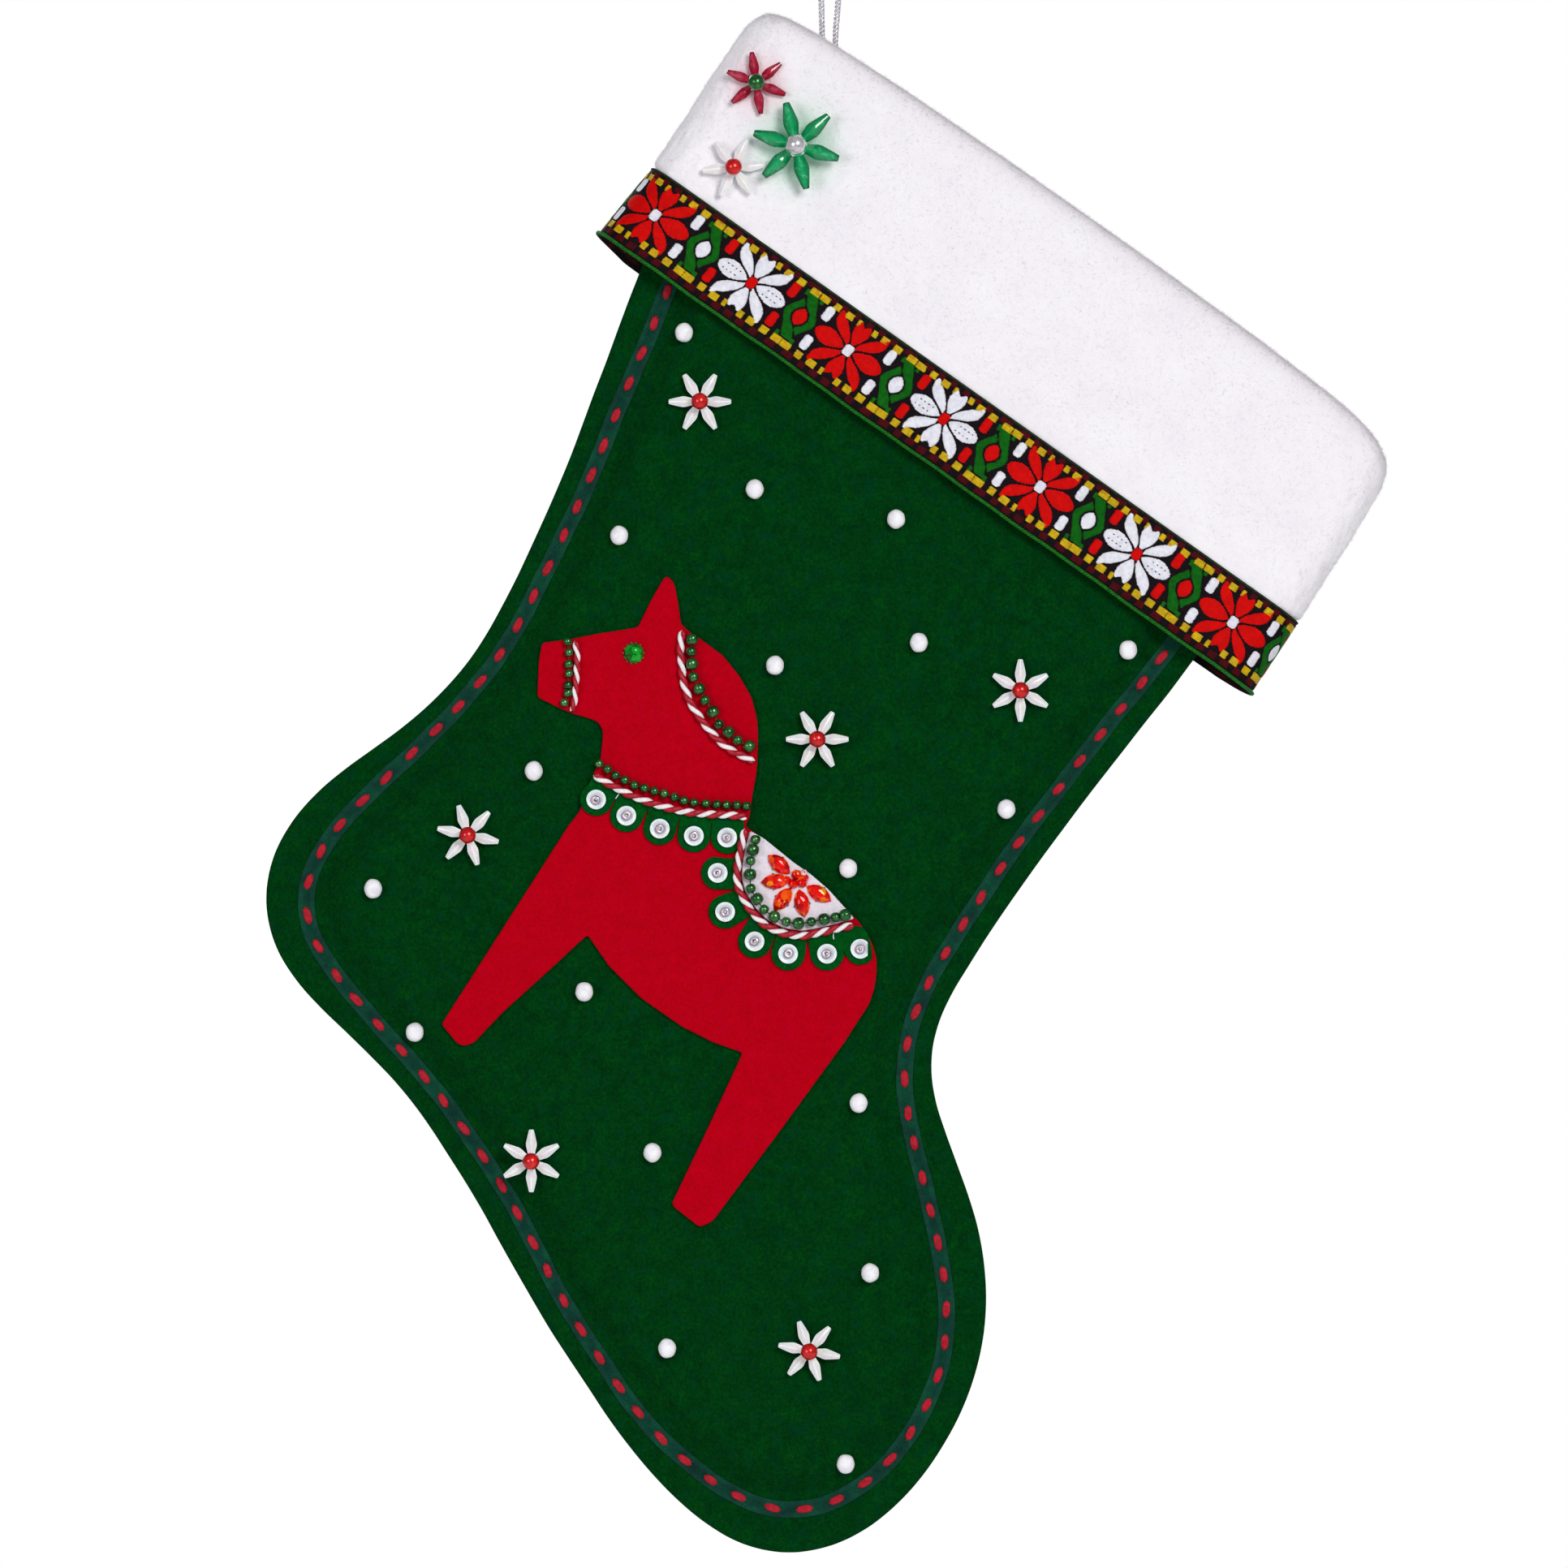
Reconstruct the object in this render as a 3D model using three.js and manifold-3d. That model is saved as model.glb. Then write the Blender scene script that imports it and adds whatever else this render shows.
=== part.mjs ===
// Hanging felt stocking with a red felt dala horse sewn on its front.
// Millimetres, +Z up, +X to the right, the decorated front faces -Y.
// The origin is the inside top of the hanging loop, where it rests on a hook.
import * as THREE from 'three';
import { mergeVertices } from 'three/addons/utils/BufferGeometryUtils.js';
import Module from 'manifold-3d';

// ---------------------------------------------------------------- driving dimensions
const GAP = 0.3;              // clearance between touching pieces
const FELT_T = 2.0;           // felt of the two stocking panels
const FLANGE_H = 0.15;        // half gap between the panels along the sewn edge
const PUFF_H = 5.0;           // half gap between the panels in the middle
const RISE_START = 3.0;       // the panels part this far inside the seam line
const RISE_END = 12.6;        // and are flat again from here on
const SEAM_RIBBON_W = 5.0;    // ribbon over the seam
const SEAM_RIBBON_T = 0.7;
const CUFF_T = 2.5;           // fleece of the cuff's outer layer
const FACING_T = 1.5;         // the part turned down inside the mouth
const CUFF_UL = -1.5;         // cuff's left end
const CUFF_UR = 232.0;        // cuff's right end
const CUFF_END_R = 18.0;      // length of the rounded side folds
const CUFF_BOTTOM = -24.2;
const BACK_DROP = 2.2;        // the back half hangs this much lower
const RIBBON_W = 24.6;        // woven band round the bottom of the cuff
const RIBBON_T = 0.8;
const HORSE_T = 1.2;          // felt of the horse
const TRIM_T = 1.0;           // felt of the collar, the saddle and its skirt
const CORD_R = 1.2;           // twisted red and white cords
const LOOP_R = 1.0;           // hanging loop
const STAR_R = 9.2;           // small star beads
const BIG_STAR_R = 13.0;      // large star bead
const BIG_STAR_LIFT = 2.3;    // the large star bead turns clear in front of its two neighbours
const PEARL_R = 2.45;
const SNOW_R = 2.65;

// the cuff is square to a frame turned 35.2 degrees: U runs along the band, V up the leg
const P0 = [-51.43, -119.05];
const U = [0.8171, -0.5765];
const V = [0.5765, 0.8171];
const xz = (u, v) => [P0[0] + U[0] * u + V[0] * v, P0[1] + U[1] * u + V[1] * v];

// seam line from the top left, down round the toe and up to the top right:
// x, z and the width of the felt margin outside it
const SEAM = [[-8.8,-85.5,9.8],[-17.9,-99.5,9.9],[-27.0,-114.3,9.9],[-35.5,-129.5,9.9],[-42.8,-144.6,9.8],[-48.7,-158.4,9.6],[-53.5,-170.0,9.2],[-57.6,-179.8,8.7],[-61.5,-189.1,8.4],[-65.2,-198.3,8.1],[-68.9,-207.3,7.8],[-72.8,-216.2,7.6],[-76.9,-225.1,7.4],[-81.2,-234.0,7.2],[-85.7,-242.9,6.9],[-90.4,-251.8,6.8],[-95.4,-260.3,6.6],[-100.9,-268.3,6.5],[-107.1,-275.7,6.5],[-113.9,-282.9,6.8],[-121.0,-289.9,7.6],[-128.1,-296.7,8.9],[-135.3,-303.6,10.3],[-142.1,-310.6,11.3],[-148.1,-318.2,11.8],[-152.2,-326.4,12.0],[-153.7,-335.1,11.8],[-152.1,-343.9,11.4],[-147.9,-352.2,10.6],[-142.2,-360.0,9.6],[-135.8,-367.5,8.6],[-129.2,-374.8,8.0],[-122.8,-382.0,7.6],[-116.6,-389.4,7.6],[-110.6,-397.2,7.9],[-104.9,-405.3,8.3],[-99.4,-413.4,8.6],[-94.3,-421.8,8.7],[-89.6,-430.4,8.7],[-85.0,-439.2,8.4],[-80.4,-448.0,8.0],[-75.5,-456.7,7.8],[-70.1,-465.2,7.7],[-64.5,-473.6,7.7],[-58.8,-481.7,8.0],[-52.7,-489.2,8.5],[-45.8,-496.2,9.4],[-38.2,-502.6,10.5],[-30.1,-508.0,11.6],[-21.4,-512.0,12.5],[-12.4,-513.7,12.7],[-3.4,-512.8,12.2],[4.9,-509.4,11.6],[12.5,-504.1,10.9],[19.1,-497.5,10.4],[24.7,-489.8,10.1],[29.3,-481.3,10.1],[32.5,-472.2,10.4],[34.1,-462.6,11.1],[34.3,-452.8,11.8],[33.3,-443.2,12.3],[31.6,-433.9,12.4],[29.4,-424.6,11.9],[27.1,-415.2,10.9],[24.8,-405.6,9.8],[22.9,-395.9,8.7],[22.1,-386.3,8.0],[22.9,-376.7,7.6],[25.4,-367.4,7.5],[29.4,-358.4,7.6],[34.4,-349.7,7.8],[39.7,-341.1,7.9],[45.3,-332.6,8.0],[51.0,-324.3,8.1],[56.7,-316.2,8.2],[62.5,-308.4,8.2],[68.4,-300.5,8.2],[74.5,-292.6,8.2],[80.6,-284.8,8.2],[86.8,-277.0,8.1],[93.2,-269.0,8.1],[100.3,-259.8,7.9],[108.8,-248.7,7.8],[118.3,-236.5,7.8],[127.8,-224.4,7.8],[136.7,-212.8,7.8],[145.3,-201.5,7.8]];
const HORSE = [[-84.29,-259.05],[-85.24,-264.52],[-85.71,-275.0],[-79.05,-278.33],[-75.0,-280.0],[-70.71,-281.19],[-67.86,-282.38],[-66.67,-284.29],[-66.43,-286.19],[-67.14,-293.1],[-69.29,-297.86],[-73.33,-308.57],[-76.67,-312.86],[-95.24,-341.9],[-113.81,-370.95],[-109.05,-376.67],[-107.14,-377.38],[-104.29,-376.43],[-100.0,-371.9],[-95.71,-367.38],[-83.33,-356.19],[-70.95,-344.76],[-64.76,-353.81],[-55.24,-363.33],[-43.33,-371.67],[-33.81,-376.43],[-25.48,-379.29],[-35.71,-401.43],[-46.19,-423.33],[-45.71,-424.52],[-38.1,-430.48],[-34.29,-428.81],[-14.76,-402.62],[4.29,-376.43],[11.67,-365.0],[13.1,-360.71],[13.81,-355.95],[13.81,-351.9],[12.86,-348.1],[10.71,-343.81],[8.1,-340.24],[5.24,-337.86],[-0.71,-331.43],[-5.71,-327.14],[-10.95,-323.57],[-19.52,-316.43],[-24.76,-312.86],[-23.57,-310.71],[-22.62,-304.05],[-21.43,-297.38],[-21.19,-294.52],[-20.95,-286.19],[-21.19,-281.43],[-22.86,-275.0],[-26.43,-268.81],[-31.19,-262.86],[-37.62,-258.1],[-41.9,-255.24],[-43.57,-253.33],[-44.29,-247.86],[-45.48,-241.67],[-47.38,-239.52],[-48.57,-240.0],[-52.38,-246.67],[-56.19,-254.52],[-61.9,-255.48],[-68.1,-256.43],[-76.43,-258.1]];
const SNOW = [[-42.62,-168.1],[-21.9,-214.05],[19.52,-222.86],[-61.67,-227.62],[26.19,-259.05],[87.62,-261.19],[-15.95,-265.71],[-86.67,-296.67],[51.9,-307.86],[5.48,-325.24],[-133.81,-331.19],[-71.9,-361.43],[-121.67,-373.33],[8.57,-394.05],[-51.9,-408.57],[11.9,-443.81],[-47.62,-465.95],[4.76,-500.0]];
// x, z, turn of the first arm in degrees, arm length, node name
const STARS = [
  [-37.98, -188.45, 0, STAR_R, 'leg_1'], [55.95, -273.1, 30, STAR_R, 'leg_2'], [-3.57, -287.38, 0, STAR_R, 'leg_3'],
  [-105.95, -315.48, -12.4, STAR_R, 'leg_4'], [-87.38, -410.95, 30, STAR_R, 'leg_5'], [-5.95, -466.67, -10.8, STAR_R, 'leg_6'],
  [-28.1, -120.0, 5, STAR_R, 'cuff_1'], [-21.43, -95.24, 38.5, STAR_R, 'cuff_2'], [-9.76, -113.81, 43.2, BIG_STAR_R, 'cuff_3'],
];
const HALTER_BEADS = [[-76.67,-258.81],[-76.43,-261.9],[-76.43,-265.24],[-76.43,-268.1],[-76.67,-271.43],[-76.67,-273.81],[-77.62,-276.67]];
const HALTER_CORD = [[-74.52,-258.6],[-74.05,-261.9],[-74.05,-266.19],[-74.29,-270.24],[-74.76,-276.14],[-75.48,-279.2]];
const MANE_BEADS = [[-40.24,-258.1],[-40.48,-261.67],[-40.24,-265.24],[-39.76,-269.05],[-38.1,-272.62],[-36.43,-275.95],[-34.05,-279.29],[-32.38,-282.86],[-29.52,-285.24],[-26.9,-287.62],[-23.57,-289.29]];
const MANE_CORD = [[-43.1,-255.48],[-43.7,-260.95],[-43.3,-265.16],[-42.9,-269.96],[-41.0,-276.08],[-37.43,-281.75],[-33.62,-286.51],[-29.03,-290.46],[-24.81,-292.57],[-22.2,-294.01]];
const COLLAR_BEADS = [[-67.62,-294.52],[-65.0,-296.19],[-62.62,-297.86],[-60.0,-299.29],[-57.14,-300.71],[-54.29,-301.67],[-51.43,-302.62],[-48.33,-303.33],[-45.48,-304.29],[-42.62,-305.41],[-39.76,-306.0],[-36.19,-306.3],[-33.1,-306.43],[-30.24,-306.5],[-27.14,-306.67],[-24.29,-306.9]];
const COLLAR_CORD = [[-69.05,-297.9],[-62.86,-301.44],[-56.19,-304.61],[-49.52,-306.89],[-43.1,-308.46],[-36.43,-309.27],[-29.29,-309.61],[-24.29,-310.2]];
const COLLAR_SEQUINS = [[-68.33,-305.0],[-59.52,-309.76],[-49.76,-313.57],[-39.76,-315.71],[-30.0,-316.19]];
const SKIRT_SEQUINS = [[-32.74,-326.55],[-30.57,-337.98],[-21.9,-346.67],[-12.14,-350.24],[-0.71,-350.24],[9.05,-348.81]];
const SCALLOP_R = 4.9;
const SADDLE_CORD = [[-24.76,-313.7],[-25.71,-318.33],[-26.9,-324.29],[-27.14,-328.33],[-25.95,-332.62],[-23.1,-337.38],[-19.29,-341.43],[-14.05,-344.05],[-8.1,-345.0],[-3.1,-344.11],[2.38,-342.84],[7.14,-341.83]];
const SADDLE_BEADS = [[-21.67,-316.79],[-22.38,-319.96],[-23.0,-323.1],[-23.21,-326.9],[-23.01,-331.03],[-21.3,-334.22],[-19.16,-337.26],[-16.19,-339.36],[-12.62,-340.87],[-9.05,-341.3],[-5.24,-340.87],[-1.67,-339.98],[1.67,-339.48],[4.6,-338.86]];
const BIG_BEAD_R = 1.75, SMALL_BEAD_R = 1.25, THREAD_R = 0.35;
const PETALS = [[-14.76,-324.05],[-15.95,-329.05],[-13.69,-334.29],[-8.1,-335.48],[-3.1,-332.62]];
const FLOWER_C = [-9.5, -328.6];
const EYE = [-57.38, -262.14];

// ---------------------------------------------------------------- library for joining and cutting
const wasm = await Module();
wasm.setup();
function toSolid(geometry) {
  let g = geometry.clone();
  g.deleteAttribute('normal');
  g.deleteAttribute('uv');
  g = mergeVertices(g, 1e-4);
  const idx = g.index ? Array.from(g.index.array) : [...Array(g.attributes.position.count).keys()];
  return new wasm.Manifold(new wasm.Mesh({ numProp: 3, vertProperties: new Float32Array(g.attributes.position.array), triVerts: new Uint32Array(idx) }));
}
function fromSolid(solid) {
  const m = solid.getMesh();
  const g = new THREE.BufferGeometry();
  const pos = new Float32Array(m.numVert * 3);
  for (let i = 0; i < m.numVert; i++) for (let k = 0; k < 3; k++) pos[3 * i + k] = m.vertProperties[i * m.numProp + k];
  g.setAttribute('position', new THREE.BufferAttribute(pos, 3));
  g.setIndex(Array.from(m.triVerts));
  return g;
}
const joinAll = (list) => fromSolid(list.map(toSolid).reduce((a, b) => a.add(b)));

// ---------------------------------------------------------------- helpers
const group = new THREE.Group();
const mats = {};
function mat(name, color, roughness, metalness = 0) {
  if (!mats[name]) mats[name] = new THREE.MeshStandardMaterial({ name, color, roughness, metalness });
  return mats[name];
}
const greenFelt = mat('green_felt', 0x064d1c, 0.95);
const redFelt = mat('red_felt', 0xb8001c, 0.95);
const whiteFelt = mat('white_felt', 0xf1eef6, 0.95);
const ribbonMat = mat('woven_band', 0x1a1a22, 0.7);
const seamMat = mat('seam_ribbon', 0x05352c, 0.6);
const cordMat = mat('twisted_cord', 0xc02038, 0.6);
const silverCord = mat('silver_cord', 0xc9c9cf, 0.35, 0.6);
const greenPearl = mat('green_pearl', 0x2c5a34, 0.25);
const redPearl = mat('red_pearl', 0xc01018, 0.3);
const whiteBead = mat('white_bead', 0xf4f4f4, 0.5);
const redBead = mat('clear_red', 0xb01020, 0.1);
const greenBead = mat('clear_green', 0x107030, 0.1);
const sequinMat = mat('sequin', 0xf0f0f4, 0.3);
const crystal = mat('orange_crystal', 0xe03008, 0.1);
const greenGem = mat('green_crystal', 0x0a9030, 0.1);
function add(name, geometry, material) {
  const mesh = new THREE.Mesh(geometry, material);
  mesh.name = name;
  group.add(mesh);
  return mesh;
}
// closed solid between two faces that share one triangulation.
// pts: [x, z]; front and back: y of each point; loop: outline point indices in order
function sheetSolid(pts, tris, loop, front, back) {
  const n = pts.length;
  const pos = [];
  for (let i = 0; i < n; i++) pos.push(pts[i][0], front[i], pts[i][1]);
  for (let i = 0; i < n; i++) pos.push(pts[i][0], back[i], pts[i][1]);
  const idx = [];
  for (const [a, b, c] of tris) {
    // make every triangle counter-clockwise seen from -Y (x right, z up)
    const s = (pts[b][0] - pts[a][0]) * (pts[c][1] - pts[a][1]) - (pts[c][0] - pts[a][0]) * (pts[b][1] - pts[a][1]);
    const [p, q, r] = s > 0 ? [a, b, c] : [a, c, b];
    idx.push(p, q, r, n + p, n + r, n + q);
  }
  let area = 0;
  for (let i = 0; i < loop.length; i++) {
    const a = pts[loop[i]], b = pts[loop[(i + 1) % loop.length]];
    area += a[0] * b[1] - b[0] * a[1];
  }
  const ring = area > 0 ? loop : [...loop].reverse();
  for (let i = 0; i < ring.length; i++) {
    const a = ring[i], b = ring[(i + 1) % ring.length];
    idx.push(b, a, n + a, b, n + a, n + b);
  }
  const g = new THREE.BufferGeometry();
  g.setAttribute('position', new THREE.Float32BufferAttribute(pos, 3));
  g.setIndex(idx);
  return g;
}
// flat plate cut to an outline in the x-z plane, from y = yBack forward by t
function plate(outline, yBack, t) {
  const shape = new THREE.Shape(outline.map(([x, z]) => new THREE.Vector2(x, z)));
  const g = new THREE.ExtrudeGeometry(shape, { depth: t, bevelEnabled: false, steps: 1 });
  g.rotateX(Math.PI / 2);
  g.translate(0, yBack, 0);
  return g;
}
function tube(points, y, r, steps, sides) {
  const path = new THREE.CatmullRomCurve3(points.map((p) => new THREE.Vector3(p[0], p.length > 2 ? p[2] : y, p[1])), false, 'centripetal');
  const circle = new THREE.Shape([...Array(sides).keys()].map((i) => new THREE.Vector2(r * Math.cos((2 * Math.PI * (i + 0.5)) / sides), r * Math.sin((2 * Math.PI * (i + 0.5)) / sides))));
  return new THREE.ExtrudeGeometry(circle, { steps, bevelEnabled: false, extrudePath: path });
}
// beads threaded on one thread: a closed tube whose radius follows the beads
function beadString(points, y, radii, sides = 6) {
  const rings = [];
  const P = points.map(([x, z]) => new THREE.Vector3(x, y, z));
  for (let i = 0; i < P.length; i++) {
    const prev = P[Math.max(i - 1, 0)], next = P[Math.min(i + 1, P.length - 1)];
    const dir = next.clone().sub(prev).normalize();
    const r = radii[i];
    const half = Math.min(r, 0.48 * Math.min(i > 0 ? P[i].distanceTo(P[i - 1]) : 99, i < P.length - 1 ? P[i].distanceTo(P[i + 1]) : 99));
    for (const [s, k] of [[-0.97, 0], [-0.5, 0.95], [0.5, 0.95], [0.97, 0]]) {
      rings.push([P[i].clone().addScaledVector(dir, s * half), dir, Math.max(r * k, THREAD_R)]);
    }
  }
  const pos = [], idx = [];
  for (const [c, dir, r] of rings) {
    const side = new THREE.Vector3(0, 1, 0);
    const other = new THREE.Vector3().crossVectors(dir, side).normalize();
    for (let k = 0; k < sides; k++) {
      const a = (2 * Math.PI * k) / sides;
      const p = c.clone().addScaledVector(side, r * Math.cos(a)).addScaledVector(other, r * Math.sin(a));
      pos.push(p.x, p.y, p.z);
    }
  }
  for (let i = 0; i < rings.length - 1; i++) {
    for (let k = 0; k < sides; k++) {
      const a = i * sides + k, b = i * sides + ((k + 1) % sides), c = a + sides, d = b + sides;
      idx.push(a, b, c, b, d, c);
    }
  }
  const last = (rings.length - 1) * sides;
  for (let k = 1; k < sides - 1; k++) {
    idx.push(0, k + 1, k);
    idx.push(last, last + k, last + k + 1);
  }
  const g = new THREE.BufferGeometry();
  g.setAttribute('position', new THREE.Float32BufferAttribute(pos, 3));
  g.setIndex(idx);
  return facesOut(g);
}
function facesOut(g) {
  const p = g.attributes.position, ix = g.index.array;
  let vol = 0;
  const a = new THREE.Vector3(), b = new THREE.Vector3(), c = new THREE.Vector3();
  for (let i = 0; i < ix.length; i += 3) {
    a.fromBufferAttribute(p, ix[i]); b.fromBufferAttribute(p, ix[i + 1]); c.fromBufferAttribute(p, ix[i + 2]);
    vol += a.dot(b.clone().cross(c));
  }
  if (vol < 0) {
    const flipped = [];
    for (let i = 0; i < ix.length; i += 3) flipped.push(ix[i], ix[i + 2], ix[i + 1]);
    g.setIndex(flipped);
  }
  return g;
}
const smooth = (t) => { const s = Math.min(Math.max(t, 0), 1); return s * s * (3 - 2 * s); };
const puff = (d) => FLANGE_H + (PUFF_H - FLANGE_H) * smooth((d - RISE_START) / (RISE_END - RISE_START));

// ---------------------------------------------------------------- seam stations
const STATIONS = 52;
const seamCurve = new THREE.CatmullRomCurve3(SEAM.map(([x, z, w]) => new THREE.Vector3(x, z, w)), false, 'centripetal');
const seamPts = seamCurve.getSpacedPoints(STATIONS - 1);
const stations = seamPts.map((p, i) => {
  const a = seamPts[Math.max(i - 1, 0)], b = seamPts[Math.min(i + 1, STATIONS - 1)];
  let t = new THREE.Vector2(b.x - a.x, b.y - a.y).normalize();
  if (i === 0) t = new THREE.Vector2(-V[0], -V[1]);
  if (i === STATIONS - 1) t = new THREE.Vector2(V[0], V[1]);
  // travelling down the left side, the inside of the stocking lies to the left of travel
  return { x: p.x, z: p.y, w: p.z, nx: -t.y, nz: t.x };
});
const ringAt = (d) => stations.map((s) => {
  const off = d === null ? -s.w : d;
  return [s.x + s.nx * off, s.z + s.nz * off];
});
const depthInside = (x, z) => {
  let best = Infinity;
  for (let i = 0; i < SEAM.length - 1; i++) {
    const [ax, az] = SEAM[i], [bx, bz] = SEAM[i + 1];
    const t = Math.min(Math.max(((x - ax) * (bx - ax) + (z - az) * (bz - az)) / ((bx - ax) ** 2 + (bz - az) ** 2), 0), 1);
    best = Math.min(best, Math.hypot(x - ax - t * (bx - ax), z - az - t * (bz - az)));
  }
  return best;
};
const PLATEAU = PUFF_H + FELT_T;

// ---------------------------------------------------------------- stocking panels
{
  const offsets = [null, RISE_START, 6.2, 9.4, RISE_END];
  const rings = offsets.map(ringAt);
  const pts = rings.flat();
  const h = offsets.flatMap((d) => Array(STATIONS).fill(d === null ? FLANGE_H : puff(d)));
  const tris = [];
  for (let j = 0; j < offsets.length - 1; j++) {
    for (let i = 0; i < STATIONS - 1; i++) {
      const a = j * STATIONS + i, b = a + 1, c = a + STATIONS, d = c + 1;
      tris.push([a, b, c], [b, d, c]);
    }
  }
  const inner = rings[offsets.length - 1];
  const base = (offsets.length - 1) * STATIONS;
  for (const t of THREE.ShapeUtils.triangulateShape(inner.map(([x, z]) => new THREE.Vector2(x, z)), [])) tris.push(t.map((k) => k + base));
  const loop = [...Array(STATIONS).keys()];
  for (let j = 1; j < offsets.length; j++) loop.push(j * STATIONS + STATIONS - 1);
  for (let j = offsets.length - 1; j > 0; j--) loop.push(j * STATIONS);
  add('front_panel', sheetSolid(pts, tris, loop, h.map((v) => -(v + FELT_T)), h.map((v) => -v)), greenFelt);
  add('back_panel', sheetSolid(pts, tris, loop, h.slice(), h.map((v) => v + FELT_T)), greenFelt);

  const y0 = -(FLANGE_H + FELT_T + GAP);
  const rr = [-SEAM_RIBBON_W / 2, SEAM_RIBBON_W / 2].map(ringAt);
  const rp = rr.flat();
  const rt = [];
  for (let i = 0; i < STATIONS - 1; i++) rt.push([i, i + 1, i + STATIONS], [i + 1, i + 1 + STATIONS, i + STATIONS]);
  const rl = [...Array(STATIONS).keys(), ...[...Array(STATIONS).keys()].map((k) => 2 * STATIONS - 1 - k)];
  add('seam_ribbon', sheetSolid(rp, rt, rl, rp.map(() => y0 - SEAM_RIBBON_T), rp.map(() => y0)), seamMat);
}

// ---------------------------------------------------------------- cuff and woven band
const topOf = (u) => {
  const t = [[-1.6, 52.5], [1.4, 55.8], [7.3, 57.9], [16, 59.1], [30, 59.8], [60, 60.8], [130, 61.2], [177, 60.5], [204, 59.3], [217, 57], [227, 51], [232, 45]];
  if (u <= t[0][0]) return t[0][1];
  for (let i = 0; i < t.length - 1; i++) if (u <= t[i + 1][0]) return t[i][1] + ((t[i + 1][1] - t[i][1]) * (u - t[i][0])) / (t[i + 1][0] - t[i][0]);
  return t[t.length - 1][1];
};
// stations of a long flat oval, front side first, as [u, y, share of the back drop]
function oval(uL, uR, depth, endR, straight = 4, ends = 6) {
  const out = [];
  for (let i = 0; i < straight; i++) out.push([uL + endR + ((uR - uL - 2 * endR) * i) / straight, -depth, 0]);
  for (let i = 0; i < ends; i++) {
    const a = (Math.PI * i) / ends;
    out.push([uR - endR + endR * Math.sin(a), -depth * Math.cos(a), i / ends]);
  }
  for (let i = 0; i < straight; i++) out.push([uR - endR - ((uR - uL - 2 * endR) * i) / straight, depth, 1]);
  for (let i = 0; i < ends; i++) {
    const a = (Math.PI * i) / ends;
    out.push([uL + endR - endR * Math.sin(a), depth * Math.cos(a), 1 - i / ends]);
  }
  return out;
}
// sweep of closed profiles, one per station, round a closed loop
function ringSolid(profiles) {
  const n = profiles.length, m = profiles[0].length, pos = [], idx = [];
  for (const pr of profiles) for (const [u, y, v] of pr) { const [x, z] = xz(u, v); pos.push(x, y, z); }
  for (let i = 0; i < n; i++) for (let k = 0; k < m; k++) {
    const a = i * m + k, b = i * m + ((k + 1) % m), c = ((i + 1) % n) * m + k, d = ((i + 1) % n) * m + ((k + 1) % m);
    idx.push(a, c, b, b, c, d);
  }
  const g = new THREE.BufferGeometry();
  g.setAttribute('position', new THREE.Float32BufferAttribute(pos, 3));
  g.setIndex(idx);
  return facesOut(g);
}
const WALL_IN = PLATEAU + GAP;                 // inside of the cuff's outer layer
const WALL_OUT = WALL_IN + CUFF_T;
const FACE_OUT = PUFF_H - GAP;                 // facing inside the mouth
const FACE_IN = FACE_OUT - FACING_T;
const FACING_BOTTOM = 22;
{
  const O = oval(CUFF_UL, CUFF_UR, WALL_OUT, CUFF_END_R);
  const OI = oval(CUFF_UL + CUFF_T, CUFF_UR - CUFF_T, WALL_IN, CUFF_END_R - CUFF_T);
  const F = oval(24.3, 200.3, FACE_OUT, 13.5);
  const FI = oval(25.8, 198.8, FACE_IN, 12);
  const taper = (u, v) => CUFF_UL + (u - CUFF_UL) * (1 - (0.011 * (v - CUFF_BOTTOM)) / 80);
  const at = (u, y, v) => [taper(u, v), y, v];
  const prof = O.map((o, i) => {
    const oi = OI[i], f = F[i], fi = FI[i];
    const vb = CUFF_BOTTOM - BACK_DROP * o[2];
    const mix = (k) => [o[0] + (fi[0] - o[0]) * k, o[1] + (fi[1] - o[1]) * k];
    const c = mix(0.18), d = mix(0.55);
    return [
      at(o[0], o[1], vb),
      at(o[0], o[1], topOf(o[0]) - 3.2),
      at(c[0], c[1], topOf(c[0]) - 0.8),
      at(d[0], d[1], topOf(d[0])),
      at(fi[0], fi[1], topOf(fi[0]) - 2.2),
      at(fi[0], fi[1], FACING_BOTTOM),
      at(f[0], f[1], FACING_BOTTOM),
      at(f[0], f[1], topOf(f[0]) - 3.0),
      at(oi[0], oi[1], topOf(oi[0]) - 3.4),
      at(oi[0], oi[1], vb),
    ];
  });
  add('cuff', ringSolid(prof), whiteFelt);

  const e = GAP + RIBBON_T;
  const B = oval(CUFF_UL - e, CUFF_UR + e, WALL_OUT + e, CUFF_END_R + e);
  const A = oval(CUFF_UL - GAP, CUFF_UR + GAP, WALL_OUT + GAP, CUFF_END_R + GAP);
  add('jacquard_ribbon', ringSolid(B.map((b, i) => {
    const a = A[i], drop = BACK_DROP * b[2];
    return [at(b[0], b[1], -RIBBON_W - drop), at(b[0], b[1], -drop), at(a[0], a[1], -drop), at(a[0], a[1], -RIBBON_W - drop)];
  })), ribbonMat);
}

// ---------------------------------------------------------------- horse
const Y_HORSE = -(PLATEAU + GAP);
const Y_TRIM = Y_HORSE - HORSE_T - GAP;
const Y_TOP = Y_TRIM - TRIM_T - GAP;
add('horse_body', plate(HORSE, Y_HORSE, HORSE_T), redFelt);
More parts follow.
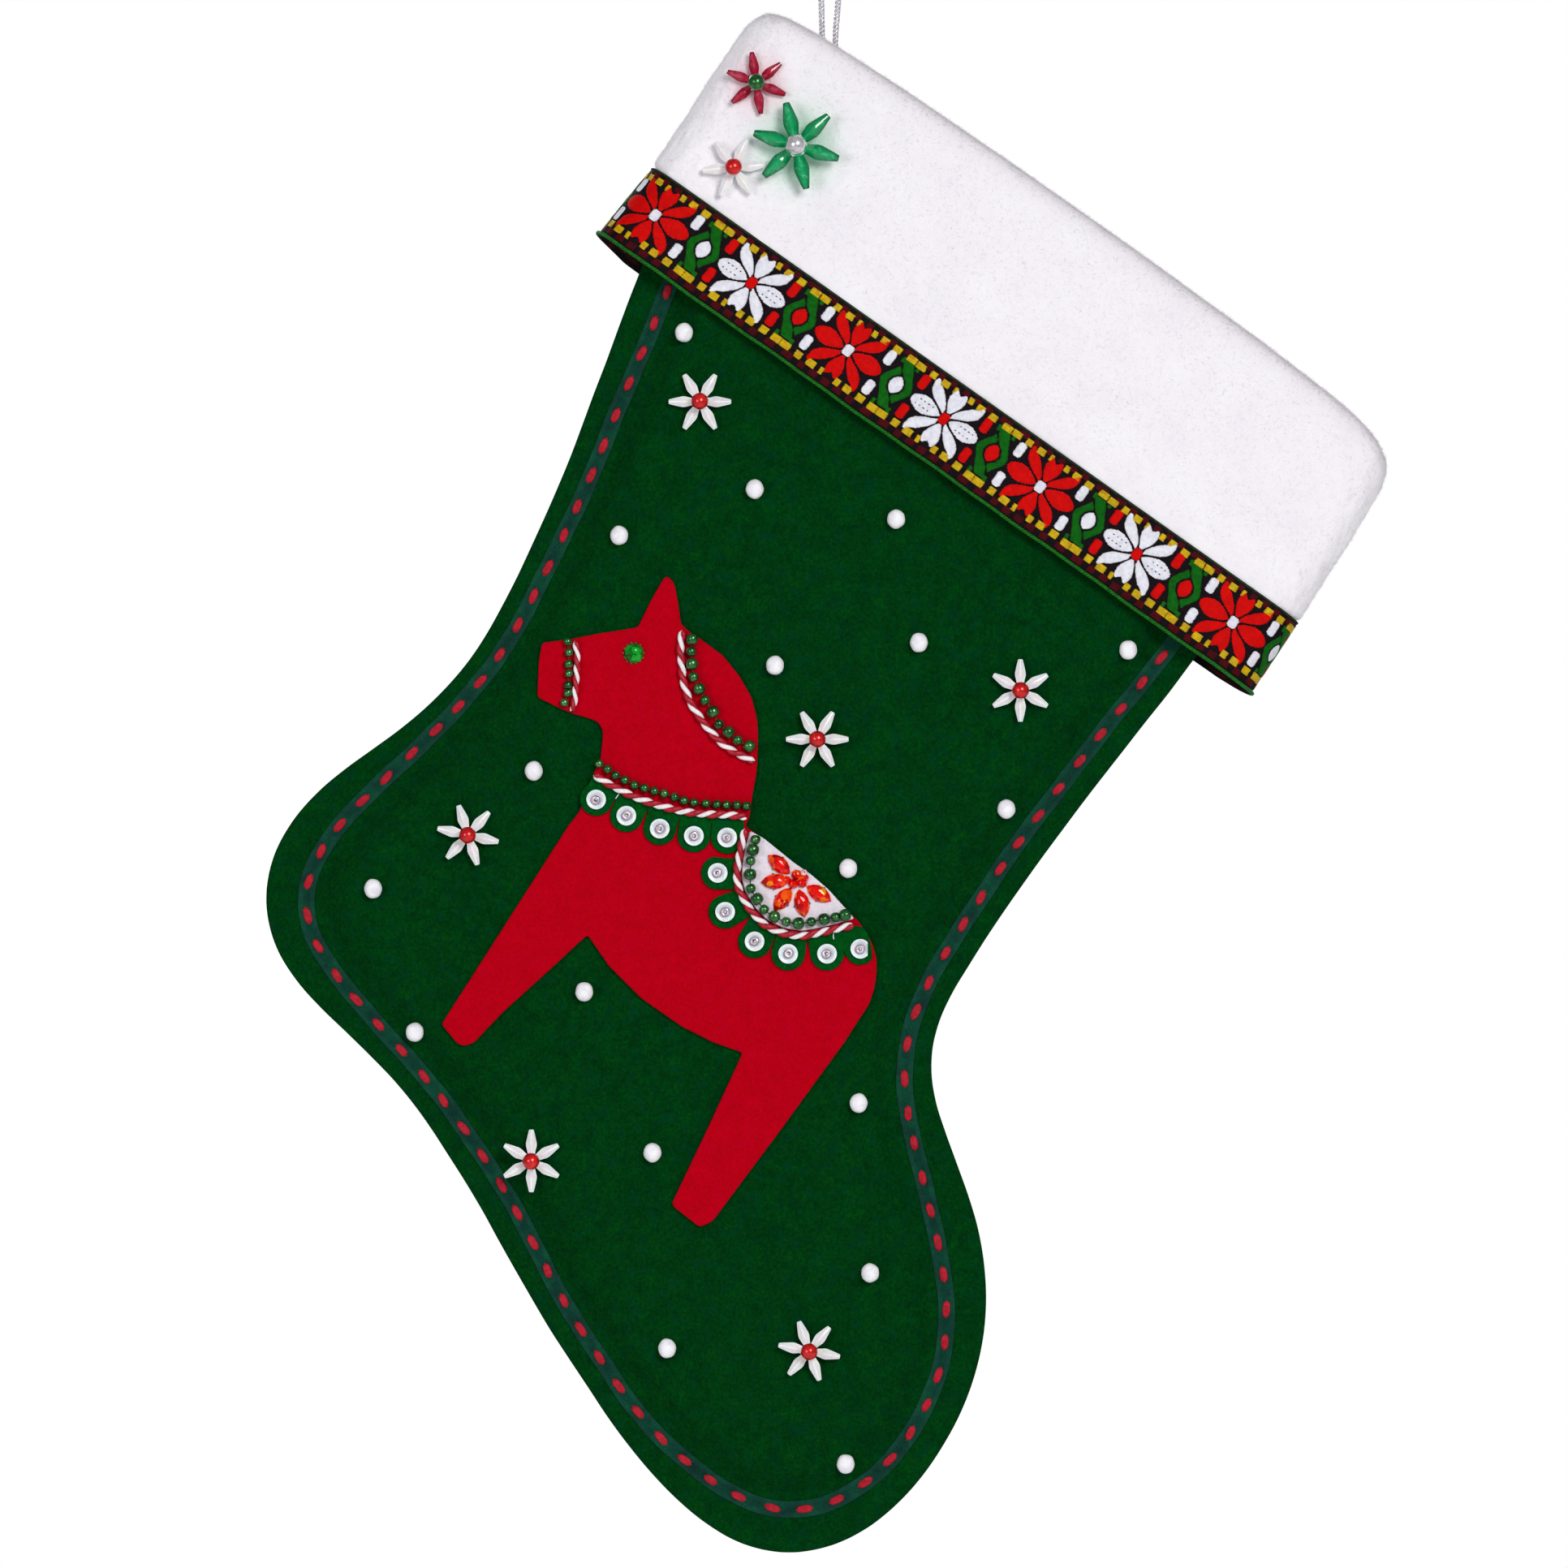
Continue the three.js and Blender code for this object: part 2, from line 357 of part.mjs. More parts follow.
// collar: straight top edge under its cord, scalloped bottom edge
function scallops(centres, r, startDir) {
  // outline that walks round the outside of a row of discs
  const out = [];
  centres.forEach(([x, z], i) => {
    const prev = centres[Math.max(i - 1, 0)], next = centres[Math.min(i + 1, centres.length - 1)];
    const back = i === 0 ? startDir[0] : Math.atan2(prev[1] - z, prev[0] - x);
    const fwd = i === centres.length - 1 ? startDir[1] : Math.atan2(next[1] - z, next[0] - x);
    const trim = (d, q) => (q ? 0 : Math.acos(Math.min(1, d / 2 / r)));
    const dPrev = Math.hypot(prev[0] - x, prev[1] - z), dNext = Math.hypot(next[0] - x, next[1] - z);
    let a0 = back + trim(dPrev, i === 0), a1 = fwd - trim(dNext, i === centres.length - 1);
    while (a1 < a0) a1 += 2 * Math.PI;
    const n = 5;
    for (let k = 0; k <= n; k++) out.push([x + r * Math.cos(a0 + ((a1 - a0) * k) / n), z + r * Math.sin(a0 + ((a1 - a0) * k) / n)]);
  });
  return out.filter((p, i) => i === 0 || Math.hypot(p[0] - out[i - 1][0], p[1] - out[i - 1][1]) > 0.05);
}
const collarOutline = [...scallops(COLLAR_SEQUINS, SCALLOP_R, [2.1, -0.1]), [-25.0, -311.2], [-24.29, -309.4], ...COLLAR_CORD.slice(0, -1).reverse()];
add('horse_collar', plate(collarOutline, Y_TRIM, TRIM_T), greenFelt);
const skirtInner = SADDLE_CORD.slice(2);
const skirtDiscs = scallops(SKIRT_SEQUINS.slice(0, 5), SCALLOP_R, [1.75, -0.25]);
const skirtOutline = [...skirtDiscs, [5.2, -352.2], [8.0, -353.4], [11.2, -353.0], [13.1, -350.6], [11.9, -345.9], [9.6, -342.2], ...skirtInner.reverse().map(([x, z]) => [x - 0.15, z - 0.15]), [-26.7, -322.2], [-28.6, -321.9]];
add('saddle_skirt', plate(skirtOutline, Y_TRIM, TRIM_T), greenFelt);
const padEdge = [[-23.4,-315.3],[-24.5,-319.4],[-25.6,-324.4],[-25.8,-328.1],[-24.8,-332.0],[-22.1,-336.5],[-18.5,-340.2],[-13.7,-342.7],[-8.1,-343.6],[-3.3,-342.8],[2.2,-341.5],[7.0,-340.3]];
add('saddle_pad', plate([...padEdge, [4.9,-338.2],[-0.9,-331.9],[-5.9,-327.6],[-11.1,-324.0],[-19.5,-317.1]], Y_TRIM, TRIM_T), whiteFelt);

const yOnHorse = Y_TRIM - CORD_R;
const yOnTrim = Y_TOP - CORD_R;
add('halter_cord', tube(HALTER_CORD, yOnHorse, CORD_R, 8, 6), cordMat);
add('mane_cord', tube(MANE_CORD, yOnHorse, CORD_R, 14, 6), cordMat);
add('collar_cord', tube(COLLAR_CORD, yOnTrim, CORD_R, 14, 6), cordMat);
add('saddle_cord', tube(SADDLE_CORD, yOnTrim, CORD_R, 18, 6), cordMat);
const alternate = (list) => list.map((_, i) => (i % 2 === 0 ? BIG_BEAD_R : SMALL_BEAD_R));
add('halter_beads', beadString(HALTER_BEADS, Y_TRIM - SMALL_BEAD_R, HALTER_BEADS.map(() => SMALL_BEAD_R * 0.94)), greenPearl);
add('mane_beads', beadString(MANE_BEADS, Y_TRIM - BIG_BEAD_R, alternate(MANE_BEADS).map((r) => r * 0.94)), greenPearl);
add('collar_beads', beadString(COLLAR_BEADS, Y_TRIM - SMALL_BEAD_R, COLLAR_BEADS.map(() => SMALL_BEAD_R * 0.94)), greenPearl);
add('saddle_beads', beadString(SADDLE_BEADS, Y_TOP - BIG_BEAD_R, SADDLE_BEADS.map((_, i) => (i % 2 ? BIG_BEAD_R : SMALL_BEAD_R) * 0.9)), greenPearl);

// cut stone of the eye
{
  const g = new THREE.CylinderGeometry(3.0, 1.7, 1.8, 8, 1);
  g.translate(EYE[0], Y_TRIM - 0.9, EYE[1]);
  add('horse_eye', g, greenGem);
}
// half flower of marquise stones held by struts to a centre stone
{
  const parts = [];
  for (const [x, z] of PETALS) {
    const s = new THREE.SphereGeometry(1, 8, 4);
    s.scale(4.0, 2.1, 1.2);
    s.rotateX(Math.PI / 2);
    s.rotateY(-Math.atan2(z - FLOWER_C[1], x - FLOWER_C[0]));
    s.translate(x, Y_TOP - 1.15, z);
    parts.push(s);
    const strut = new THREE.BoxGeometry(Math.hypot(x - FLOWER_C[0], z - FLOWER_C[1]), 0.8, 1.6);
    strut.rotateY(-Math.atan2(z - FLOWER_C[1], x - FLOWER_C[0]));
    strut.translate((x + FLOWER_C[0]) / 2, Y_TOP - 0.6, (z + FLOWER_C[1]) / 2);
    parts.push(strut);
  }
  const hub = new THREE.CylinderGeometry(2.4, 1.4, 2.2, 8, 1);
  hub.translate(FLOWER_C[0], Y_TOP - 1.1, FLOWER_C[1]);
  parts.push(hub);
  add('saddle_flower', joinAll(parts), crystal);
}
// cup sequins, each with a seed bead, held in a row by one thread
function sequinRow(centres, y) {
  const parts = [];
  centres.forEach(([x, z], i) => {
    const g = new THREE.LatheGeometry([[0, 0], [2.85, 0.35], [2.85, 0.75], [1.15, 0.6], [1.0, 1.9], [0, 1.9]].map(([a, b]) => new THREE.Vector2(a, b)), 7);
    g.rotateX(Math.PI);
    g.translate(x, y, z);
    parts.push(g);
    if (i > 0) {
      const [px, pz] = centres[i - 1];
      const len = Math.hypot(x - px, z - pz);
      const b = new THREE.BoxGeometry(len, 0.4, 0.5);
      b.rotateY(-Math.atan2(z - pz, x - px));
      b.translate((x + px) / 2, y - 0.5, (z + pz) / 2);
      parts.push(b);
    }
  });
  return joinAll(parts);
}
add('collar_sequins', sequinRow(COLLAR_SEQUINS, Y_TOP), sequinMat);
add('skirt_sequins', sequinRow(SKIRT_SEQUINS, Y_TOP), sequinMat);

// ---------------------------------------------------------------- snow beads on the green felt
SNOW.forEach(([x, z], i) => {
  const g = new THREE.IcosahedronGeometry(SNOW_R, 0);
  g.scale(1, 0.85, 1);
  const d = depthInside(x, z);
  // on the slope towards the seam a bead rests on its inner side
  const face = d > RISE_END + SNOW_R ? PLATEAU : puff(d + SNOW_R * 0.9) + FELT_T;
  g.translate(x, -(face + GAP + SNOW_R * 0.82), z);
  add(`snow_bead_${String(i + 1).padStart(2, '0')}`, g, whiteBead);
});

// ---------------------------------------------------------------- star beads, each turning on the stem of its pearl
for (const [x, z, turn, reach, label] of STARS) {
  const cuff = label.startsWith('cuff');
  const face = cuff ? WALL_OUT : PLATEAU;
  const k = reach / STAR_R;
  const yc = -(face + GAP + 2.1 * k + (label === 'cuff_3' ? BIG_STAR_LIFT : 0));
  const parts = [];
  const hub = new THREE.CylinderGeometry(2.5 * k, 2.5 * k, 3.2 * k, 8, 1);
  parts.push(hub);
  for (let i = 0; i < 6; i++) {
    const arm = new THREE.LatheGeometry([[0, 1.6], [0.95, 1.9], [label === 'cuff_2' ? 1.4 : 1.62, 4.9], [0.75, 9.0], [0, 9.2]].map(([a, b]) => new THREE.Vector2(a * k, b * k)), 4);
    arm.rotateZ(-Math.PI / 2);
    arm.rotateY(-THREE.MathUtils.degToRad(turn + 60 * i));
    parts.push(arm);
  }
  const body = parts.map(toSolid).reduce((a, b) => a.add(b));
  const hole = new THREE.CylinderGeometry(1.1, 1.1, 12, 8, 1);
  const star = fromSolid(body.subtract(toSolid(hole)));
  star.translate(x, yc, z);
  add(`star_${label}`, star, label === 'cuff_2' ? redBead : label === 'cuff_3' ? greenBead : whiteBead);

  // pearl and its thread stem in one piece
  const stem = -(face + GAP);
  const front = yc - 1.6 * k - GAP;
  const depth = stem - front;
  const pr = label === 'cuff_3' ? 2.9 : PEARL_R;
  const pearl = new THREE.LatheGeometry([[0, 0], [0.7, 0], [0.7, depth], [pr * 0.72, depth + pr * 0.3], [pr * 1.0, depth + pr], [pr * 0.72, depth + pr * 1.7], [0, depth + pr * 2.0]].map(([a, b]) => new THREE.Vector2(a, b)), 7);
  pearl.rotateX(Math.PI);
  pearl.translate(x, stem, z);
  add(`pearl_${label}`, pearl, label === 'cuff_2' ? greenPearl : label === 'cuff_3' ? sequinMat : redPearl);
}

// ---------------------------------------------------------------- hanging loop
{
  const pts = [[-2.1, -79.9], [-2.15, -77], [-2.25, -73], [-2.4, -66], [-3.4, -52], [-5.0, -34], [-6.3, -18], [-6.5, -7], [-5.6, -2.6], [-3.3, 0.2], [0, 1.0], [3.4, 0.2], [5.8, -2.6], [6.7, -7], [6.5, -18], [5.4, -34], [4.0, -52], [2.9, -66], [2.45, -73], [2.0, -78], [1.8, -82.6]];
  add('hanging_loop', tube(pts, 0, LOOP_R, 32, 8), silverCord);
}

export default group;
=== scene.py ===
import math
import bpy
import numpy as np
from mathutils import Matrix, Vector
from mathutils.geometry import delaunay_2d_cdt


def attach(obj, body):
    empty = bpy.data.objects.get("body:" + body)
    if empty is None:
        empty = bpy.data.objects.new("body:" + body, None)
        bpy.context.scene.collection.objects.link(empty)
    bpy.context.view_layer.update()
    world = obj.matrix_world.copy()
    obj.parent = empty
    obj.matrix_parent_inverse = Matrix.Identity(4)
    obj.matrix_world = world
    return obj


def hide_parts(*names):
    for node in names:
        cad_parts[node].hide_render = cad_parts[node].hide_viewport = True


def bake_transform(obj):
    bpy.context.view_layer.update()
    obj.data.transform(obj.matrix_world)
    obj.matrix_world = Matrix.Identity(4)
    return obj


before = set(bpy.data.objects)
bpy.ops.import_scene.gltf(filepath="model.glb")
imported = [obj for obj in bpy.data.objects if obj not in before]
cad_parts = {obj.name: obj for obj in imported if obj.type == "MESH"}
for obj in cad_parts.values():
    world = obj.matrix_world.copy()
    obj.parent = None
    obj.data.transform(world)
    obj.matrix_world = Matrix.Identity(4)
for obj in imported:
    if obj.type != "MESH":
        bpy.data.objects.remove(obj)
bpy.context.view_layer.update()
MM = 0.001
TAU = 2 * math.pi

# ------------------------------------------------------------------ the design's points, in millimetres
SEAM = [[-8.8,-85.5,9.8],[-17.9,-99.5,9.9],[-27.0,-114.3,9.9],[-35.5,-129.5,9.9],[-42.8,-144.6,9.8],[-48.7,-158.4,9.6],[-53.5,-170.0,9.2],[-57.6,-179.8,8.7],[-61.5,-189.1,8.4],[-65.2,-198.3,8.1],[-68.9,-207.3,7.8],[-72.8,-216.2,7.6],[-76.9,-225.1,7.4],[-81.2,-234.0,7.2],[-85.7,-242.9,6.9],[-90.4,-251.8,6.8],[-95.4,-260.3,6.6],[-100.9,-268.3,6.5],[-107.1,-275.7,6.5],[-113.9,-282.9,6.8],[-121.0,-289.9,7.6],[-128.1,-296.7,8.9],[-135.3,-303.6,10.3],[-142.1,-310.6,11.3],[-148.1,-318.2,11.8],[-152.2,-326.4,12.0],[-153.7,-335.1,11.8],[-152.1,-343.9,11.4],[-147.9,-352.2,10.6],[-142.2,-360.0,9.6],[-135.8,-367.5,8.6],[-129.2,-374.8,8.0],[-122.8,-382.0,7.6],[-116.6,-389.4,7.6],[-110.6,-397.2,7.9],[-104.9,-405.3,8.3],[-99.4,-413.4,8.6],[-94.3,-421.8,8.7],[-89.6,-430.4,8.7],[-85.0,-439.2,8.4],[-80.4,-448.0,8.0],[-75.5,-456.7,7.8],[-70.1,-465.2,7.7],[-64.5,-473.6,7.7],[-58.8,-481.7,8.0],[-52.7,-489.2,8.5],[-45.8,-496.2,9.4],[-38.2,-502.6,10.5],[-30.1,-508.0,11.6],[-21.4,-512.0,12.5],[-12.4,-513.7,12.7],[-3.4,-512.8,12.2],[4.9,-509.4,11.6],[12.5,-504.1,10.9],[19.1,-497.5,10.4],[24.7,-489.8,10.1],[29.3,-481.3,10.1],[32.5,-472.2,10.4],[34.1,-462.6,11.1],[34.3,-452.8,11.8],[33.3,-443.2,12.3],[31.6,-433.9,12.4],[29.4,-424.6,11.9],[27.1,-415.2,10.9],[24.8,-405.6,9.8],[22.9,-395.9,8.7],[22.1,-386.3,8.0],[22.9,-376.7,7.6],[25.4,-367.4,7.5],[29.4,-358.4,7.6],[34.4,-349.7,7.8],[39.7,-341.1,7.9],[45.3,-332.6,8.0],[51.0,-324.3,8.1],[56.7,-316.2,8.2],[62.5,-308.4,8.2],[68.4,-300.5,8.2],[74.5,-292.6,8.2],[80.6,-284.8,8.2],[86.8,-277.0,8.1],[93.2,-269.0,8.1],[100.3,-259.8,7.9],[108.8,-248.7,7.8],[118.3,-236.5,7.8],[127.8,-224.4,7.8],[136.7,-212.8,7.8],[145.3,-201.5,7.8]]
HORSE = [[-84.29,-259.05],[-85.24,-264.52],[-85.71,-275.0],[-79.05,-278.33],[-75.0,-280.0],[-70.71,-281.19],[-67.86,-282.38],[-66.67,-284.29],[-66.43,-286.19],[-67.14,-293.1],[-69.29,-297.86],[-73.33,-308.57],[-76.67,-312.86],[-95.24,-341.9],[-113.81,-370.95],[-109.05,-376.67],[-107.14,-377.38],[-104.29,-376.43],[-100.0,-371.9],[-95.71,-367.38],[-83.33,-356.19],[-70.95,-344.76],[-64.76,-353.81],[-55.24,-363.33],[-43.33,-371.67],[-33.81,-376.43],[-25.48,-379.29],[-35.71,-401.43],[-46.19,-423.33],[-45.71,-424.52],[-38.1,-430.48],[-34.29,-428.81],[-14.76,-402.62],[4.29,-376.43],[11.67,-365.0],[13.1,-360.71],[13.81,-355.95],[13.81,-351.9],[12.86,-348.1],[10.71,-343.81],[8.1,-340.24],[5.24,-337.86],[-0.71,-331.43],[-5.71,-327.14],[-10.95,-323.57],[-19.52,-316.43],[-24.76,-312.86],[-23.57,-310.71],[-22.62,-304.05],[-21.43,-297.38],[-21.19,-294.52],[-20.95,-286.19],[-21.19,-281.43],[-22.86,-275.0],[-26.43,-268.81],[-31.19,-262.86],[-37.62,-258.1],[-41.9,-255.24],[-43.57,-253.33],[-44.29,-247.86],[-45.48,-241.67],[-47.38,-239.52],[-48.57,-240.0],[-52.38,-246.67],[-56.19,-254.52],[-61.9,-255.48],[-68.1,-256.43],[-76.43,-258.1]]
SNOW = [[-42.62,-168.1],[-21.9,-214.05],[19.52,-222.86],[-61.67,-227.62],[26.19,-259.05],[87.62,-261.19],[-15.95,-265.71],[-86.67,-296.67],[51.9,-307.86],[5.48,-325.24],[-133.81,-331.19],[-71.9,-361.43],[-121.67,-373.33],[8.57,-394.05],[-51.9,-408.57],[11.9,-443.81],[-47.62,-465.95],[4.76,-500.0]]
STARS = [ [-37.98, -188.45, 0, 9.2, 'leg_1'], [55.95, -273.1, 30, 9.2, 'leg_2'], [-3.57, -287.38, 0, 9.2, 'leg_3'], [-105.95, -315.48, -12.4, 9.2, 'leg_4'], [-87.38, -410.95, 30, 9.2, 'leg_5'], [-5.95, -466.67, -10.8, 9.2, 'leg_6'], [-28.1, -120.0, 5, 9.2, 'cuff_1'], [-21.43, -95.24, 38.5, 9.2, 'cuff_2'], [-9.76, -113.81, 43.2, 13.0, 'cuff_3'], ]
HALTER_BEADS = [[-76.67,-258.81],[-76.43,-261.9],[-76.43,-265.24],[-76.43,-268.1],[-76.67,-271.43],[-76.67,-273.81],[-77.62,-276.67]]
HALTER_CORD = [[-74.52,-258.6],[-74.05,-261.9],[-74.05,-266.19],[-74.29,-270.24],[-74.76,-276.14],[-75.48,-279.2]]
MANE_BEADS = [[-40.24,-258.1],[-40.48,-261.67],[-40.24,-265.24],[-39.76,-269.05],[-38.1,-272.62],[-36.43,-275.95],[-34.05,-279.29],[-32.38,-282.86],[-29.52,-285.24],[-26.9,-287.62],[-23.57,-289.29]]
MANE_CORD = [[-43.1,-255.48],[-43.7,-260.95],[-43.3,-265.16],[-42.9,-269.96],[-41.0,-276.08],[-37.43,-281.75],[-33.62,-286.51],[-29.03,-290.46],[-24.81,-292.57],[-22.2,-294.01]]
COLLAR_BEADS = [[-67.62,-294.52],[-65.0,-296.19],[-62.62,-297.86],[-60.0,-299.29],[-57.14,-300.71],[-54.29,-301.67],[-51.43,-302.62],[-48.33,-303.33],[-45.48,-304.29],[-42.62,-305.41],[-39.76,-306.0],[-36.19,-306.3],[-33.1,-306.43],[-30.24,-306.5],[-27.14,-306.67],[-24.29,-306.9]]
COLLAR_CORD = [[-69.05,-297.9],[-62.86,-301.44],[-56.19,-304.61],[-49.52,-306.89],[-43.1,-308.46],[-36.43,-309.27],[-29.29,-309.61],[-24.29,-310.2]]
COLLAR_SEQUINS = [[-68.33,-305.0],[-59.52,-309.76],[-49.76,-313.57],[-39.76,-315.71],[-30.0,-316.19]]
SKIRT_SEQUINS = [[-32.74,-326.55],[-30.57,-337.98],[-21.9,-346.67],[-12.14,-350.24],[-0.71,-350.24],[9.05,-348.81]]
SADDLE_CORD = [[-24.76,-313.7],[-25.71,-318.33],[-26.9,-324.29],[-27.14,-328.33],[-25.95,-332.62],[-23.1,-337.38],[-19.29,-341.43],[-14.05,-344.05],[-8.1,-345.0],[-3.1,-344.11],[2.38,-342.84],[7.14,-341.83]]
SADDLE_BEADS = [[-21.67,-316.79],[-22.38,-319.96],[-23.0,-323.1],[-23.21,-326.9],[-23.01,-331.03],[-21.3,-334.22],[-19.16,-337.26],[-16.19,-339.36],[-12.62,-340.87],[-9.05,-341.3],[-5.24,-340.87],[-1.67,-339.98],[1.67,-339.48],[4.6,-338.86]]
PETALS = [[-14.76,-324.05],[-15.95,-329.05],[-13.69,-334.29],[-8.1,-335.48],[-3.1,-332.62]]
FLOWER_C = [-9.5, -328.6]
EYE = [-57.38, -262.14]
LOOP = [[-2.1, -79.9], [-2.15, -77], [-2.25, -73], [-2.4, -66], [-3.4, -52], [-5.0, -34], [-6.3, -18], [-6.5, -7], [-5.6, -2.6], [-3.3, 0.2], [0, 1.0], [3.4, 0.2], [5.8, -2.6], [6.7, -7], [6.5, -18], [5.4, -34], [4.0, -52], [2.9, -66], [2.45, -73], [2.0, -78], [1.8, -82.6]]
P0 = np.array([-51.43, -119.05])
U = np.array([0.8171, -0.5765])
V = np.array([0.5765, 0.8171])
FELT_T, FLANGE_H, PUFF_H, RISE_START, RISE_END = 2.0, 0.15, 5.0, 3.0, 12.6
PLATEAU = FELT_T + PUFF_H
UL, UR, BOTTOM, DROP = -1.5, 232.0, -24.2, 2.2
WALL_IN, WALL_OUT, FACE_OUT, FACE_IN, FACING_BOTTOM = 7.3, 9.8, 4.7, 3.2, 22.0

# ------------------------------------------------------------------ camera, then light
cam_data = bpy.data.cameras.new("camera")
cam = bpy.data.objects.new("camera", cam_data)
bpy.context.scene.collection.objects.link(cam)
cam.location = (-0.01333, -3.007, -0.3005)
cam.rotation_euler = (math.pi / 2, 0, 0)
cam_data.sensor_width = 36
cam_data.lens = 234.8
cam_data.clip_start, cam_data.clip_end = 0.05, 50
bpy.context.scene.camera = cam
bpy.context.scene.view_settings.view_transform = "Standard"
bpy.context.scene.view_settings.look = "None"


def area(name, location, target, size, watts, color=(1, 1, 1)):
    d = bpy.data.lights.new(name, "AREA")
    d.shape, d.size, d.energy, d.color = "DISK", size, watts, color
    o = bpy.data.objects.new(name, d)
    bpy.context.scene.collection.objects.link(o)
    o.location = location
    o.rotation_euler = (Vector(target) - Vector(location)).to_track_quat("-Z", "Y").to_euler()
    return o


CENTRE = (0.0, 0.0, -0.3)
area("key", (0.8, -2.1, 0.5), CENTRE, 0.9, 31.0, (1.0, 0.99, 0.98))
area("fill", (-1.4, -1.9, -0.1), CENTRE, 1.1, 13.0, (0.97, 0.975, 1.0))
area("back_left", (-1.1, 1.5, 0.7), CENTRE, 1.1, 17.0)
area("back_right", (1.3, 1.2, 0.2), CENTRE, 1.1, 9.0)
world = bpy.data.worlds.new("studio")
bpy.context.scene.world = world
world.use_nodes = True
wn = world.node_tree
wn.nodes.clear()
w_out = wn.nodes.new("ShaderNodeOutputWorld")
w_mix = wn.nodes.new("ShaderNodeMixShader")
w_path = wn.nodes.new("ShaderNodeLightPath")
w_seen = wn.nodes.new("ShaderNodeBackground")
w_lit = wn.nodes.new("ShaderNodeBackground")
w_seen.inputs[0].default_value, w_seen.inputs[1].default_value = (1, 1, 1, 1), 1.0
w_lit.inputs[0].default_value, w_lit.inputs[1].default_value = (0.97, 0.97, 1, 1), 0.23
wn.links.new(w_path.outputs["Is Camera Ray"], w_mix.inputs[0])
wn.links.new(w_lit.outputs[0], w_mix.inputs[1])
wn.links.new(w_seen.outputs[0], w_mix.inputs[2])
wn.links.new(w_mix.outputs[0], w_out.inputs[0])


# ------------------------------------------------------------------ materials
def lin(r, g, b):
    f = lambda c: c / 255 / 12.92 if c <= 10.3 else ((c / 255 + 0.055) / 1.055) ** 2.4
    return (f(r), f(g), f(b), 1.0)


class Mat:
    def __init__(self, name, **consts):
        self.m = bpy.data.materials.new(name)
        self.m.use_nodes = True
        self.t = self.m.node_tree
        self.b = self.t.nodes["Principled BSDF"]
        for k, v in consts.items():
            self.b.inputs[k.replace("_", " ")].default_value = v
        self.co = self.t.nodes.new("ShaderNodeTexCoord").outputs["Object"]

    def node(self, kind, **inputs):
        n = self.t.nodes.new(kind)
        for k, v in inputs.items():
            key = k.replace("_", " ")
            if isinstance(v, bpy.types.NodeSocket):
                self.t.links.new(v, n.inputs[key])
            elif key in n.inputs:
                n.inputs[key].default_value = v
            else:
                setattr(n, k, v)
        return n

    def noise(self, scale, detail=2.0, rough=0.5, vector=None, distortion=0.0):
        return self.node("ShaderNodeTexNoise", Vector=vector or self.co, Scale=scale, Detail=detail, Roughness=rough, Distortion=distortion).outputs["Fac"]

    def mapped(self, scale=(1, 1, 1), rot=(0, 0, 0), vector=None):
        return self.node("ShaderNodeMapping", Vector=vector or self.co, Scale=scale, Rotation=rot).outputs["Vector"]

    def attribute(self, name):
        n = self.t.nodes.new("ShaderNodeAttribute")
        n.attribute_name = name
        return n.outputs["Vector"]

    def ramp(self, fac, stops, mode="LINEAR"):
        n = self.t.nodes.new("ShaderNodeValToRGB")
        n.color_ramp.interpolation = mode
        e = n.color_ramp.elements
        while len(e) < len(stops):
            e.new(0.5)
        for el, (p, c) in zip(e, stops):
            el.position, el.color = p, c
        self.t.links.new(fac, n.inputs[0])
        return n.outputs["Color"]

    def mix(self, fac, a, b, blend="MIX"):
        n = self.t.nodes.new("ShaderNodeMix")
        n.data_type, n.blend_type = "RGBA", blend
        for sock, v in ((n.inputs[0], fac), (n.inputs[6], a), (n.inputs[7], b)):
            if isinstance(v, bpy.types.NodeSocket):
                self.t.links.new(v, sock)
            else:
                sock.default_value = v
        return n.outputs[2]

    def math(self, op, a, b=0.0, clamp=False):
        n = self.t.nodes.new("ShaderNodeMath")
        n.operation, n.use_clamp = op, clamp
        for sock, v in ((n.inputs[0], a), (n.inputs[1], b)):
            if isinstance(v, bpy.types.NodeSocket):
                self.t.links.new(v, sock)
            else:
                sock.default_value = v
        return n.outputs[0]

    def color(self, socket):
        self.t.links.new(socket, self.b.inputs["Base Color"])
        return self

    def rough(self, socket):
        self.t.links.new(socket, self.b.inputs["Roughness"])
        return self

    def bump(self, height, distance, strength=1.0, below=None):
        n = self.node("ShaderNodeBump", Height=height, Distance=distance, Strength=strength)
        if below is not None:
            self.t.links.new(below, n.inputs["Normal"])
        self.t.links.new(n.outputs[0], self.b.inputs["Normal"])
        return n.outputs[0]


